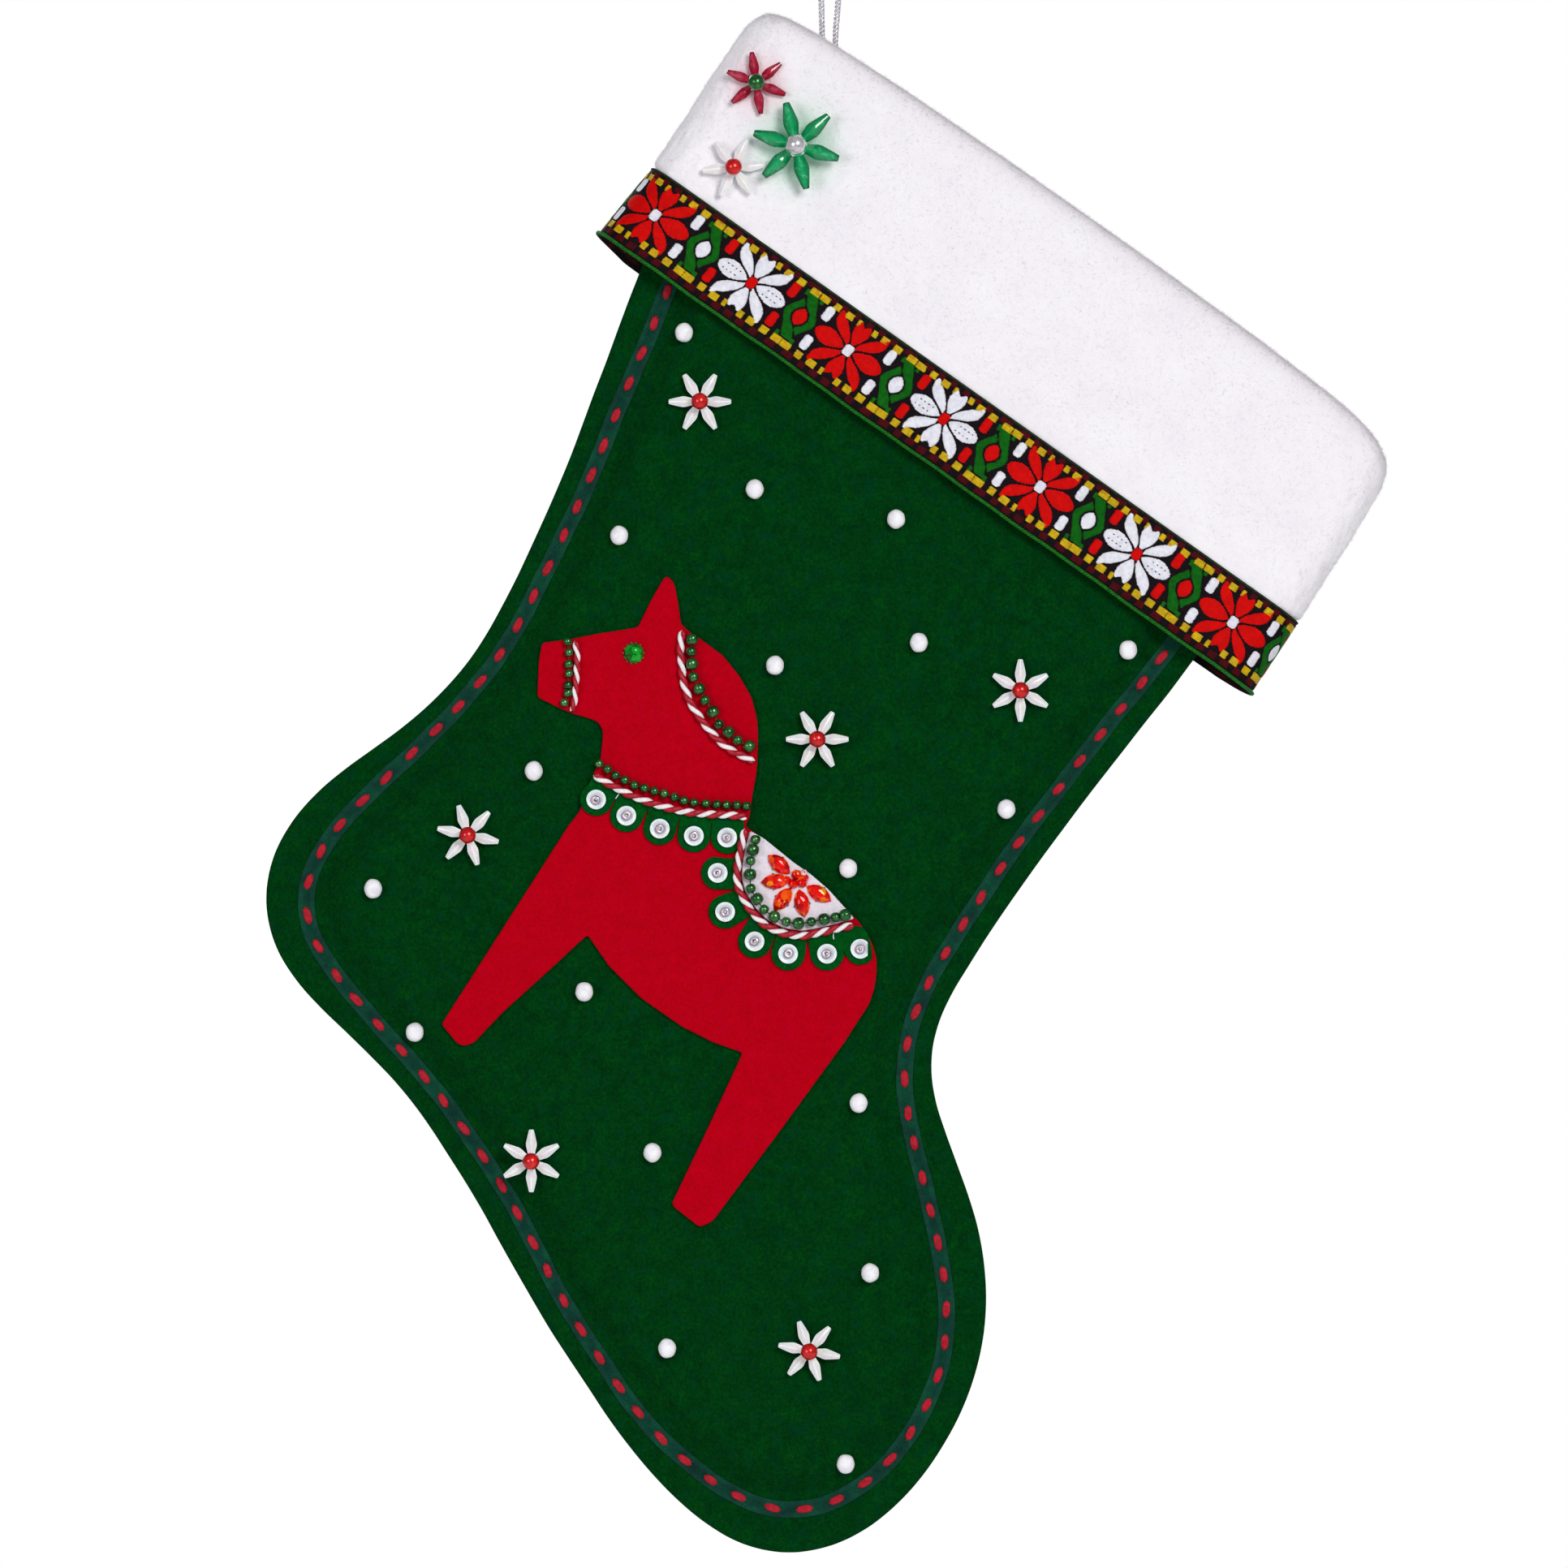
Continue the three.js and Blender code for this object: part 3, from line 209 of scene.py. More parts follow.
def felt(name, dark, mid, light, odd, fibre=1.0, sheen=0.35, fine=1500.0, tint=None):
    m = Mat(name, Roughness=1.0, Sheen_Weight=sheen, Sheen_Roughness=0.5, Specular_IOR_Level=0.03)
    if tint:
        m.b.inputs["Sheen Tint"].default_value = tint
    blotch = m.noise(230.0, 4.0, 0.6, distortion=0.4)
    speck = m.math("ADD", m.math("MULTIPLY", m.noise(980.0, 4.0, 0.7), 0.62), m.math("MULTIPLY", m.noise(2300.0, 3.0, 0.75, vector=m.mapped((1, 1, 0.45), (0.0, 0.8, 0.3))), 0.38))
    c1 = m.ramp(m.math("ADD", m.math("MULTIPLY", blotch, 0.26), m.math("MULTIPLY", speck, 0.74)), [(0.33, dark), (0.5, mid), (0.66, light)])
    patch = m.ramp(m.noise(300.0, 4.0, 0.65, vector=m.mapped((1, 1, 1), (0.4, 0.7, 0.2))), [(0.5, (0, 0, 0, 1)), (0.72, (1, 1, 1, 1))])
    m.color(m.mix(m.math("MULTIPLY", patch, 0.55), c1, odd))
    fib = m.noise(fine, 3.0, 0.65, vector=m.mapped((1, 1, 0.25), (0.3, 0.0, 0.6)))
    fib2 = m.noise(fine * 0.9, 3.0, 0.65, vector=m.mapped((0.28, 1, 1), (0.0, 0.5, -0.4)))
    low = m.bump(m.noise(420.0, 3.0, 0.6), 0.00035 * fibre, 0.5)
    m.bump(m.math("ADD", fib, fib2), 0.00022 * fibre, 0.75, below=low)
    return m.m


def rgb(*c):
    return lin(*c)


M_GREEN = felt("felt_green", rgb(0, 34, 12), rgb(0, 54, 15), rgb(4, 74, 14), rgb(0, 56, 36), sheen=0.0)
M_GREEN_TRIM = felt("felt_green_trim", rgb(0, 50, 16), rgb(0, 74, 20), rgb(4, 94, 22), rgb(0, 72, 44), 0.7, sheen=0.0)
M_RED = felt("felt_red", rgb(160, 0, 16), rgb(180, 0, 21), rgb(196, 0, 28), rgb(180, 0, 34), 0.7, sheen=0.0)
M_WHITE = felt("felt_white", rgb(214, 204, 214), rgb(232, 224, 234), rgb(244, 240, 246), rgb(228, 214, 230), 0.8, sheen=0.1)


def make_fleece():
    m = Mat("fleece_white", Roughness=0.95, Sheen_Weight=0.25, Sheen_Roughness=0.6, Specular_IOR_Level=0.08)
    soft = m.noise(70.0, 4.0, 0.6)
    c = m.ramp(m.math("ADD", m.math("MULTIPLY", soft, 0.6), m.math("MULTIPLY", m.noise(500.0, 4.0, 0.7), 0.4)), [(0.34, rgb(244, 240, 247)), (0.52, rgb(249, 246, 251)), (0.66, rgb(252, 250, 253))])
    # painted light and shade: the x and y channels tint the fleece pink and mint round the two clear stars, as if lit
    # through them; the z channel paints grey-lilac shade along the rolled top edge
    painted_glow_and_shade = m.node("ShaderNodeSeparateXYZ", Vector=m.attribute("painted_glow_and_shade"))
    c = m.mix(painted_glow_and_shade.outputs[0], c, rgb(255, 96, 140))
    c = m.mix(painted_glow_and_shade.outputs[2], c, rgb(196, 190, 198))
    m.color(m.mix(painted_glow_and_shade.outputs[1], c, rgb(60, 226, 150)))
    low = m.bump(m.noise(330.0, 4.0, 0.65), 0.0006, 0.45)
    m.bump(m.noise(1800.0, 3.0, 0.7), 0.0003, 0.7, below=low)
    return m.m


M_FLEECE = make_fleece()


def cut_edge(name, a, b):
    m = Mat(name, Roughness=0.9, Specular_IOR_Level=0.1)
    m.color(m.ramp(m.noise(1500.0, 3.0, 0.7), [(0.35, a), (0.65, b)]))
    m.bump(m.noise(2500.0, 2.0, 0.7), 0.0002, 0.6)
    return m.m


M_EDGE_GREEN = cut_edge("cut_edge_green", rgb(96, 66, 40), rgb(128, 92, 52))
M_EDGE_WHITE = cut_edge("cut_edge_white", rgb(150, 96, 84), rgb(196, 164, 150))
M_EDGE_RED = cut_edge("cut_edge_red", rgb(96, 8, 18), rgb(150, 10, 26))


def yarn(name, a, b, rough=0.5, sheen=0.0, along=(1, 1, 1), scale=1600.0, spec=0.22, aniso=0.0):
    m = Mat(name, Roughness=rough, Sheen_Weight=sheen, Sheen_Roughness=0.4, Specular_IOR_Level=spec)
    if aniso:
        m.b.inputs["Anisotropic"].default_value = aniso
    tone = m.noise(900.0, 3.0, 0.6)
    m.color(m.ramp(tone, [(0.3, a), (0.7, b)]))
    m.bump(m.noise(scale, 3.0, 0.6, vector=m.mapped(along)), 0.00012, 0.6)
    return m.m


ALONG = (0.35, 1.0, 1.0)
M_T_RED = yarn("thread_red", rgb(200, 0, 0), rgb(228, 4, 0), 0.6, spec=0.12)
M_T_WHITE = yarn("thread_white", rgb(226, 226, 238), rgb(250, 250, 255), 0.42)
M_T_GREEN = yarn("thread_green", rgb(0, 84, 6), rgb(6, 116, 12), 0.6, spec=0.14)
M_T_YELLOW = yarn("thread_yellow", rgb(184, 146, 0), rgb(226, 196, 0), 0.45)
M_T_CRIMSON = yarn("thread_crimson", rgb(58, 0, 8), rgb(88, 0, 16), 0.6, spec=0.12)
M_EDGE_CORD = yarn("selvedge_green", rgb(2, 84, 8), rgb(20, 122, 18), 0.55)
M_EDGE_DARK = yarn("selvedge_olive", rgb(14, 26, 14), rgb(38, 66, 26), 0.7)
M_CORD_RED = yarn("cord_red", rgb(146, 2, 24), rgb(188, 8, 40), 0.42, spec=0.4)
M_CORD_WHITE = yarn("cord_white", rgb(234, 228, 234), rgb(254, 250, 252), 0.4, spec=0.4)
M_STITCH_RED = yarn("stitch_red", rgb(150, 4, 26), rgb(192, 16, 44), 0.55)
M_SEW_WHITE = yarn("sewing_white", rgb(220, 216, 220), rgb(246, 244, 246), 0.6)
M_SEW_GREEN = yarn("sewing_green", rgb(10, 44, 18), rgb(26, 74, 34), 0.6)


def make_ground():
    m = Mat("band_ground", Roughness=0.8, Specular_IOR_Level=0.1)
    pv = m.attribute("pv")
    warp = m.noise(1.0, 2.0, 0.6, vector=m.mapped((700.0, 3200.0, 1.0), vector=pv))
    m.color(m.ramp(warp, [(0.35, rgb(6, 4, 8)), (0.6, rgb(22, 14, 20)), (0.78, rgb(46, 18, 26))]))
    m.bump(warp, 0.0002, 0.9)
    return m.m


M_GROUND = make_ground()


def make_reverse():
    m = Mat("band_reverse", Roughness=0.85, Specular_IOR_Level=0.1)
    pv = m.attribute("pv")
    floats = m.noise(1.0, 3.0, 0.6, vector=m.mapped((160.0, 700.0, 1.0), vector=pv))
    m.color(m.ramp(floats, [(0.4, rgb(8, 8, 8)), (0.56, rgb(26, 14, 14)), (0.7, rgb(96, 8, 14))]))
    m.bump(m.noise(1.0, 2.0, 0.6, vector=m.mapped((500.0, 3000.0, 1.0), vector=pv)), 0.0002, 0.8)
    return m.m


M_REVERSE = make_reverse()


def make_grosgrain():
    m = Mat("grosgrain_teal", Roughness=0.72, Specular_IOR_Level=0.14)
    m.color(m.ramp(m.math("ADD", m.math("MULTIPLY", m.noise(240.0, 3.0, 0.6), 0.6), m.math("MULTIPLY", m.noise(2200.0, 2.0, 0.6), 0.4)), [(0.36, rgb(0, 44, 36)), (0.52, rgb(0, 60, 46)), (0.66, rgb(0, 76, 48))]))
    m.bump(m.noise(2600.0, 2.0, 0.6), 0.0001, 0.5)
    return m.m


M_GROSGRAIN = make_grosgrain()


def pearl(name, dark, mid, light, rough=0.22, coat=0.6, metal=0.0, soft=0.0):
    m = Mat(name, Roughness=rough, Coat_Weight=coat, Coat_Roughness=0.06, Specular_IOR_Level=0.5, Metallic=metal, Subsurface_Weight=soft, Subsurface_Scale=0.001)
    m.color(m.ramp(m.noise(420.0, 3.0, 0.55, distortion=0.6), [(0.32, dark), (0.5, mid), (0.7, light)]))
    m.bump(m.noise(900.0, 2.0, 0.5), 0.00004, 0.35)
    return m.m


M_PEARL_GREEN = pearl("pearl_green", rgb(6, 58, 24), rgb(34, 112, 48), rgb(96, 140, 84), 0.3, 0.5, 0.72)
M_PEARL_RED = pearl("pearl_red", rgb(176, 0, 8), rgb(214, 2, 10), rgb(236, 30, 16), 0.3, 0.5, 0.35)
M_PEARL_SILVER = pearl("pearl_silver", rgb(176, 178, 184), rgb(214, 214, 220), rgb(246, 240, 240), 0.25, 0.5, 0.6)
M_STAR_WHITE = pearl("star_white", rgb(240, 240, 244), rgb(250, 250, 252), rgb(255, 255, 255), 0.22, 0.4, 0.0, 0.5)
M_SNOW = pearl("snow_white", rgb(232, 230, 238), rgb(246, 245, 250), rgb(252, 252, 254), 0.62, 0.0)
M_SEQUIN = pearl("sequin_white", rgb(232, 230, 236), rgb(248, 247, 250), rgb(254, 254, 255), 0.3, 0.35, 0.0, 0.3)


def make_seed():
    m = Mat("seed_silver", Roughness=0.18, Coat_Weight=0.7, Coat_Roughness=0.05, Metallic=0.25)
    c = m.ramp(m.noise(700.0, 3.0, 0.55, distortion=0.6), [(0.32, rgb(186, 170, 186)), (0.5, rgb(214, 204, 216)), (0.7, rgb(244, 238, 246))])
    # painted shade: the rim attribute darkens the seed bead to dark red-grey at its outer edge and round its hole,
    # standing in for the shade there and for the red felt seen through the glass
    rim = m.node("ShaderNodeSeparateXYZ", Vector=m.attribute("rim"))
    m.color(m.mix(rim.outputs[0], c, rgb(120, 62, 84)))
    m.bump(m.noise(900.0, 2.0, 0.5), 0.00003, 0.3)
    return m.m


M_SEED = make_seed()


def clear(name, dark, mid, light, trans):
    m = Mat(name, Roughness=0.1, Coat_Weight=0.3, Coat_Roughness=0.05, Transmission_Weight=trans, IOR=1.45, Subsurface_Weight=0.3, Subsurface_Scale=0.001)
    c = m.ramp(m.noise(420.0, 3.0, 0.6, distortion=1.2), [(0.3, mid), (0.5, mid), (0.7, light)])
    # painted shade: the tip attribute pulls the colour towards the dark stop at the arm tips, at the arm roots and
    # along the arms' side silhouettes
    edge = m.node("ShaderNodeSeparateXYZ", Vector=m.attribute("tip"))
    m.color(m.mix(edge.outputs[0], c, dark))
    m.bump(m.noise(700.0, 2.0, 0.5), 0.00004, 0.4)
    return m.m


M_CLEAR_RED = clear("clear_red", rgb(132, 0, 26), rgb(220, 22, 76), rgb(248, 120, 150), 0.5)
M_CLEAR_GREEN = clear("clear_green", rgb(0, 84, 52), rgb(8, 196, 122), rgb(110, 236, 178), 0.5)


def gem(name, stops, rough=0.05):
    m = Mat(name, Roughness=rough, Coat_Weight=0.25, Coat_Roughness=0.02, Metallic=0.1, Specular_IOR_Level=0.35)
    # painted reflections: each Voronoi cell gets its own tone from the ramp, standing in for light reflected inside the
    # facets; the brightest stops are painted glints
    m.color(m.ramp(m.node("ShaderNodeTexVoronoi", Vector=m.co, Scale=620.0, Randomness=1.0).outputs["Color"], stops))
    m.bump(m.noise(500.0, 2.0, 0.5), 0.00003, 0.3)
    return m.m


# painted glints: the orange and yellow-orange top stops
M_GEM_ORANGE = gem("gem_orange", [(0.12, rgb(150, 0, 0)), (0.34, rgb(226, 2, 0)), (0.66, rgb(250, 12, 0)), (0.8, rgb(255, 100, 0)), (0.92, rgb(255, 186, 0))])
M_BEAD_PINK = pearl("bead_pink", rgb(206, 120, 126), rgb(232, 168, 168), rgb(250, 220, 216), 0.12, 0.8)
M_GEM_GREEN = gem("gem_green", [(0.15, rgb(0, 50, 10)), (0.5, rgb(0, 124, 18)), (0.85, rgb(0, 168, 40))])
M_GEM_SETTING = yarn("gem_setting", rgb(70, 44, 30), rgb(150, 116, 84), 0.5)


def make_metal_thread():
    m = Mat("metal_thread", Roughness=0.3, Metallic=0.55)
    m.color(m.ramp(m.noise(1500.0, 3.0, 0.6), [(0.3, rgb(168, 158, 162)), (0.5, rgb(222, 220, 228)), (0.75, rgb(255, 252, 252))]))
    m.rough(m.ramp(m.noise(900.0, 2.0, 0.5), [(0.3, (0.2, 0.2, 0.2, 1)), (0.7, (0.42, 0.42, 0.42, 1))]))
    m.bump(m.noise(2600.0, 3.0, 0.7), 0.00015, 0.7)
    return m.m


M_METAL = make_metal_thread()


def make_floor():
    m = Mat("floor_paper", Roughness=0.85, Specular_IOR_Level=0.15)
    m.color(m.ramp(m.noise(12.0, 3.0, 0.5), [(0.3, (0.84, 0.84, 0.85, 1)), (0.7, (0.88, 0.88, 0.88, 1))]))
    return m.m


# ------------------------------------------------------------------ helpers
def ripple(x, z, scale, seed, n=9):
    r = np.random.default_rng(seed)
    out = np.zeros_like(x, dtype=float)
    for _ in range(n):
        a = r.uniform(0, TAU)
        k = TAU / scale * r.uniform(0.6, 1.5)
        out += np.sin(k * (np.cos(a) * x + np.sin(a) * z) + r.uniform(0, TAU))
    return out / math.sqrt(n)


def drape(x, z):
    """slow unevenness of the hanging felt, shared by everything sewn to it"""
    return 0.34 * ripple(x, z, 95.0, 11) + 0.12 * ripple(x, z, 34.0, 12)


def smooth01(t):
    t = np.clip(t, 0, 1)
    return t * t * (3 - 2 * t)


def puff(d):
    return FLANGE_H + (PUFF_H - FLANGE_H) * smooth01((d - RISE_START) / (RISE_END - RISE_START))


def uv_xz(u, v):
    return P0[0] + U[0] * u + V[0] * v, P0[1] + U[1] * u + V[1] * v


def resample(P, step, closed=False):
    P = np.asarray(P, float)
    if closed:
        P = np.vstack([P, P[:1]])
    s = np.concatenate([[0], np.cumsum(np.linalg.norm(np.diff(P, axis=0), axis=1))])
    n = max(2, int(round(s[-1] / step)) + 1)
    t = np.linspace(0, s[-1], n)
    Q = np.stack([np.interp(t, s, P[:, k]) for k in range(P.shape[1])], 1)
    return Q[:-1] if closed else Q


def crom(P, step):
    """centripetal Catmull-Rom curve through P, evenly resampled"""
    P = np.asarray(P, float)
    E = np.vstack([2 * P[0] - P[1], P, 2 * P[-1] - P[-2]])
    out = []
    for i in range(1, len(E) - 2):
        p0, p1, p2, p3 = E[i - 1], E[i], E[i + 1], E[i + 2]
        d0, d1, d2 = [max(np.linalg.norm(b - a) ** 0.5, 1e-6) for a, b in ((p0, p1), (p1, p2), (p2, p3))]
        t1 = ((p1 - p0) / d0 - (p2 - p0) / (d0 + d1) + (p2 - p1) / d1) * d1
        t2 = ((p2 - p1) / d1 - (p3 - p1) / (d1 + d2) + (p3 - p2) / d2) * d1
        t = np.linspace(0, 1, 25)[:-1, None]
        out.append(p1 * (2 * t**3 - 3 * t**2 + 1) + t1 * (t**3 - 2 * t**2 + t) + p2 * (-2 * t**3 + 3 * t**2) + t2 * (t**3 - t**2))
    out.append(E[-2][None])
    return resample(np.vstack(out), step)


def dist(Q, P, closed=False):
    """distance of points Q to polyline P, its sign (inside on the left of travel) and the place along it"""
    A = P if closed else P[:-1]
    B = np.roll(P, -1, axis=0) if closed else P[1:]
    D = B - A
    L2 = (D**2).sum(1)
    cum = np.concatenate([[0], np.cumsum(np.sqrt(L2))])
    d, sg, al = np.empty(len(Q)), np.empty(len(Q)), np.empty(len(Q))
    for i in range(0, len(Q), 1500):
        q = Q[i:i + 1500, None, :] - A
        t = np.clip((q * D).sum(2) / L2, 0, 1)
        r = q - t[..., None] * D
        d2 = (r**2).sum(2)
        j = d2.argmin(1)
        k = np.arange(len(j))
        d[i:i + 1500] = np.sqrt(d2[k, j])
        sg[i:i + 1500] = np.sign(D[j, 0] * q[k, j, 1] - D[j, 1] * q[k, j, 0])
        al[i:i + 1500] = cum[j] + t[k, j] * np.sqrt(L2[j])
    return d, sg, al


def frames(P, up):
    T = np.gradient(P, axis=0)
    T /= np.linalg.norm(T, axis=1)[:, None]
    up = np.broadcast_to(np.asarray(up, float), P.shape)
    N1 = up - (up * T).sum(1)[:, None] * T
    N1 /= np.linalg.norm(N1, axis=1)[:, None]
    return T, N1, np.cross(N1, T)


class Acc:
    """collects closed pieces of one mesh"""

    def __init__(self):
        self.v, self.f, self.m, self.n, self.a = [], {}, {}, 0, []

    def add(self, v, faces, mat=0, attr=None):
        for f in faces:
            f = np.asarray(f, np.int64)
            if not len(f):
                continue
            self.f.setdefault(f.shape[1], []).append(f + self.n)
            self.m.setdefault(f.shape[1], []).append(np.full(len(f), mat) if np.isscalar(mat) else mat)
        self.v.append(np.asarray(v, float))
        if attr is not None:
            self.a.append(attr)
        self.n += len(v)
        return self

    def mesh(self, name, mats, smooth=True, angle=None, attr_name=None):
        Vx = np.vstack(self.v) * MM
        polys = [np.vstack(self.f[k]) for k in self.f]
        mi = np.concatenate([np.concatenate(self.m[k]) for k in self.f])
        vol = 0.0
        for p in polys:
            for k in range(1, p.shape[1] - 1):
                vol += np.einsum("ij,ij->", Vx[p[:, 0]], np.cross(Vx[p[:, k]], Vx[p[:, k + 1]]))
        if vol < 0:
            polys = [p[:, ::-1] for p in polys]
        me = bpy.data.meshes.new(name)
        loops = np.concatenate([p.ravel() for p in polys]).astype(np.int32)
        sizes = np.concatenate([np.full(len(p), p.shape[1]) for p in polys])
        me.vertices.add(len(Vx))
        me.vertices.foreach_set("co", Vx.astype(np.float32).ravel())
        me.loops.add(len(loops))
        me.loops.foreach_set("vertex_index", loops)
        me.polygons.add(len(sizes))
        me.polygons.foreach_set("loop_start", np.concatenate([[0], np.cumsum(sizes)[:-1]]).astype(np.int32))
        for m in mats:
            me.materials.append(m)
        me.polygons.foreach_set("material_index", mi.astype(np.int32))
        me.update(calc_edges=True)
        if smooth:
            me.shade_smooth()
            if angle:
                me.set_sharp_from_angle(angle=math.radians(angle))
        else:
            me.shade_flat()
        if self.a:
            at = me.attributes.new(attr_name, "FLOAT_VECTOR", "POINT")
            at.data.foreach_set("vector", np.vstack(self.a).astype(np.float32).ravel())
        o = bpy.data.objects.new(name, me)
        bpy.context.scene.collection.objects.link(o)
        return o


def put(o, body="stocking", nodes=()):
    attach(o, body)
    if nodes:
        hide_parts(*nodes)
    return o


def tube(P, r, sides=8, up=(0, -1, 0), closed=False, phase=0.0, flat=1.0):
    """closed solid swept along P; r may vary; flat squeezes it along up"""
    P = np.asarray(P, float)
    if closed:
        Q = np.vstack([P[-1:], P, P[:1]])
        up_q = up if np.ndim(up) == 1 else np.vstack([up[-1:], up, up[:1]])
        _, N1, N2 = frames(Q, up_q)
        N1, N2 = N1[1:-1], N2[1:-1]
    else:
        _, N1, N2 = frames(P, up)
    n = len(P)
    a = TAU * np.arange(sides) / sides + phase
    r = np.asarray(r, float)
    if r.ndim < 2:
        r = np.broadcast_to(np.broadcast_to(r, (n,))[:, None], (n, sides))
    Vx = P[:, None, :] + r[..., None] * (flat * np.cos(a)[None, :, None] * N1[:, None, :] + np.sin(a)[None, :, None] * N2[:, None, :])
    i = np.arange(n if closed else n - 1)[:, None]
    k = np.arange(sides)[None, :]
    k2 = (k + 1) % sides
    i2 = (i + 1) % n
    quads = np.stack([i * sides + k, i * sides + k2, i2 * sides + k2, i2 * sides + k], -1).reshape(-1, 4)
    faces = [quads]
    if not closed:
        faces.append(np.array([np.arange(sides)[::-1], (n - 1) * sides + np.arange(sides)]))
    return Vx.reshape(-1, 3), faces


def lathe(profile, sides, centre=(0, 0, 0), axis=(0, -1, 0), closed=True, phase=0.0):
    """profile of (radius, height along axis); a closed profile gives a ring, an open one starts and ends on the axis"""
    ax = np.asarray(axis, float)
    ax = ax / np.linalg.norm(ax)
    ref = np.array([0, 0, 1.0]) if abs(ax[2]) < 0.9 else np.array([1.0, 0, 0])
    e1 = np.cross(ax, ref)
    e1 /= np.linalg.norm(e1)
    e2 = np.cross(ax, e1)
    a = TAU * np.arange(sides) / sides + phase
    c = np.asarray(centre, float)
    if closed:
        pr = np.asarray(profile, float)
        Vx = c + pr[:, None, 1, None] * ax + pr[:, None, 0, None] * (np.cos(a)[None, :, None] * e1 + np.sin(a)[None, :, None] * e2)
        m = len(pr)
        i = np.arange(m)[:, None]
        k = np.arange(sides)[None, :]
        q = np.stack([i * sides + k, i * sides + (k + 1) % sides, ((i + 1) % m) * sides + (k + 1) % sides, ((i + 1) % m) * sides + k], -1).reshape(-1, 4)
        return Vx.reshape(-1, 3), [q]
    pr = np.asarray(profile, float)
    mid = pr[1:-1]
    Vx = c + mid[:, None, 1, None] * ax + mid[:, None, 0, None] * (np.cos(a)[None, :, None] * e1 + np.sin(a)[None, :, None] * e2)
    m = len(mid)
    i = np.arange(m - 1)[:, None]
    k = np.arange(sides)[None, :]
    q = np.stack([i * sides + k, i * sides + (k + 1) % sides, (i + 1) * sides + (k + 1) % sides, (i + 1) * sides + k], -1).reshape(-1, 4)
    Vx = np.vstack([Vx.reshape(-1, 3), c + pr[0, 1] * ax, c + pr[-1, 1] * ax])
    s = np.arange(sides)
    t = np.vstack([np.stack([np.full(sides, m * sides), (s + 1) % sides, s], 1), np.stack([np.full(sides, m * sides + 1), (m - 1) * sides + s, (m - 1) * sides + (s + 1) % sides], 1)])
    return Vx, [q, t]


def flat_cut(outline, insets, spacing, extra=None, inner_from=None):
    """triangulates a cut shape: rings inside its outline and an even grid in the middle.
    Returns points, triangles and each point's distance from the edge."""
    n = len(outline)
    area2 = np.sum(outline[:, 0] * np.roll(outline[:, 1], -1) - np.roll(outline[:, 0], -1) * outline[:, 1])
    ring = outline if area2 > 0 else outline[::-1]
    t = np.roll(ring, -1, axis=0) - np.roll(ring, 1, axis=0)
    t /= np.linalg.norm(t, axis=1)[:, None] + 1e-9
    nrm = np.stack([-t[:, 1], t[:, 0]], 1)
    pts = []
    for e in insets:
        q = ring + nrm * e
        d, sg, _ = dist(q, ring, True)
        pts.append(q[(sg > 0) & (d > e * 0.93)])
    lo, hi = ring.min(0), ring.max(0)
    gx, gz = np.meshgrid(np.arange(lo[0], hi[0], spacing), np.arange(lo[1], hi[1], spacing * 0.866))
    gx = gx + (np.arange(gx.shape[0]) % 2)[:, None] * spacing / 2
    g = np.stack([gx.ravel(), gz.ravel()], 1)
    d, sg, _ = dist(g, ring, True)
    limit = (insets[-1] if insets else 0) + spacing * 0.6
    keep = (sg > 0) & (d > limit)
    if inner_from is not None:
        keep &= inner_from(g)
    pts.append(g[keep])
    if extra is not None:
        d, sg, _ = dist(extra, ring, True)
        pts.append(extra[(sg > 0) & (d > limit)])
    allp = np.vstack([ring] + pts)
    vs, _, fs, _, _, _ = delaunay_2d_cdt([Vector(p) for p in allp.tolist()], [(i, (i + 1) % n) for i in range(n)], [list(range(n))], 1, 1e-5)
    P = np.array([[v.x, v.y] for v in vs])
    F = np.array([list(f) for f in fs if len(f) == 3])
    a, b, c = P[F[:, 0]], P[F[:, 1]], P[F[:, 2]]
    cr = (b[:, 0] - a[:, 0]) * (c[:, 1] - a[:, 1]) - (b[:, 1] - a[:, 1]) * (c[:, 0] - a[:, 0])
    F = F[np.abs(cr) > 1e-9]
    cr = cr[np.abs(cr) > 1e-9]
    F[cr < 0] = F[cr < 0][:, ::-1]
    d, _, _ = dist(P, ring, True)
    return P, F, d


def border(F):
    e = np.vstack([F[:, [0, 1]], F[:, [1, 2]], F[:, [2, 0]]])
    key = np.sort(e, 1)
    code = key[:, 0] * 10000000 + key[:, 1]
    u, first, cnt = np.unique(code, return_index=True, return_counts=True)
    return e[first[cnt == 1]]


def cloth_solid(P, F, front, back, walls=(0.33, 0.66), bulge=0.0, edge_mat=0):
    """closed felt piece from one triangulation and its two faces (y values)"""
    n = len(P)
    v = [np.stack([P[:, 0], front, P[:, 1]], 1), np.stack([P[:, 0], back, P[:, 1]], 1)]
    B = border(F)
    used = np.unique(B)
    place = {int(k): i for i, k in enumerate(used)}
    rows = [used]
    base = 2 * n
    for w in walls:
        v.append(np.stack([P[used, 0], front[used] * (1 - w) + back[used] * w, P[used, 1]], 1))
        rows.append(base + np.arange(len(used)))
        base += len(used)
    rows.append(used + n)
    a = np.array([place[int(k)] for k in B[:, 0]])
    b = np.array([place[int(k)] for k in B[:, 1]])
    quads = [np.stack([rows[i][b], rows[i][a], rows[i + 1][a], rows[i + 1][b]], 1) for i in range(len(rows) - 1)]
    tris = np.vstack([F, F[:, ::-1] + n])
    q = np.vstack(quads)
    return np.vstack(v), [tris, q], [np.zeros(len(tris), int), np.full(len(q), edge_mat)]


def add_cloth(acc, P, F, front, back, **kw):
    v, faces, mats = cloth_solid(P, F, front, back, **kw)
    n0 = acc.n
    for f, m in zip(faces, mats):
        acc.f.setdefault(f.shape[1], []).append(f + n0)
        acc.m.setdefault(f.shape[1], []).append(m)
    acc.v.append(v)
    acc.n += len(v)


def edge_drop(d, r):
    e = np.clip(d, 0, r)
    return r - np.sqrt(np.maximum(r * r - (r - e) ** 2, 0))


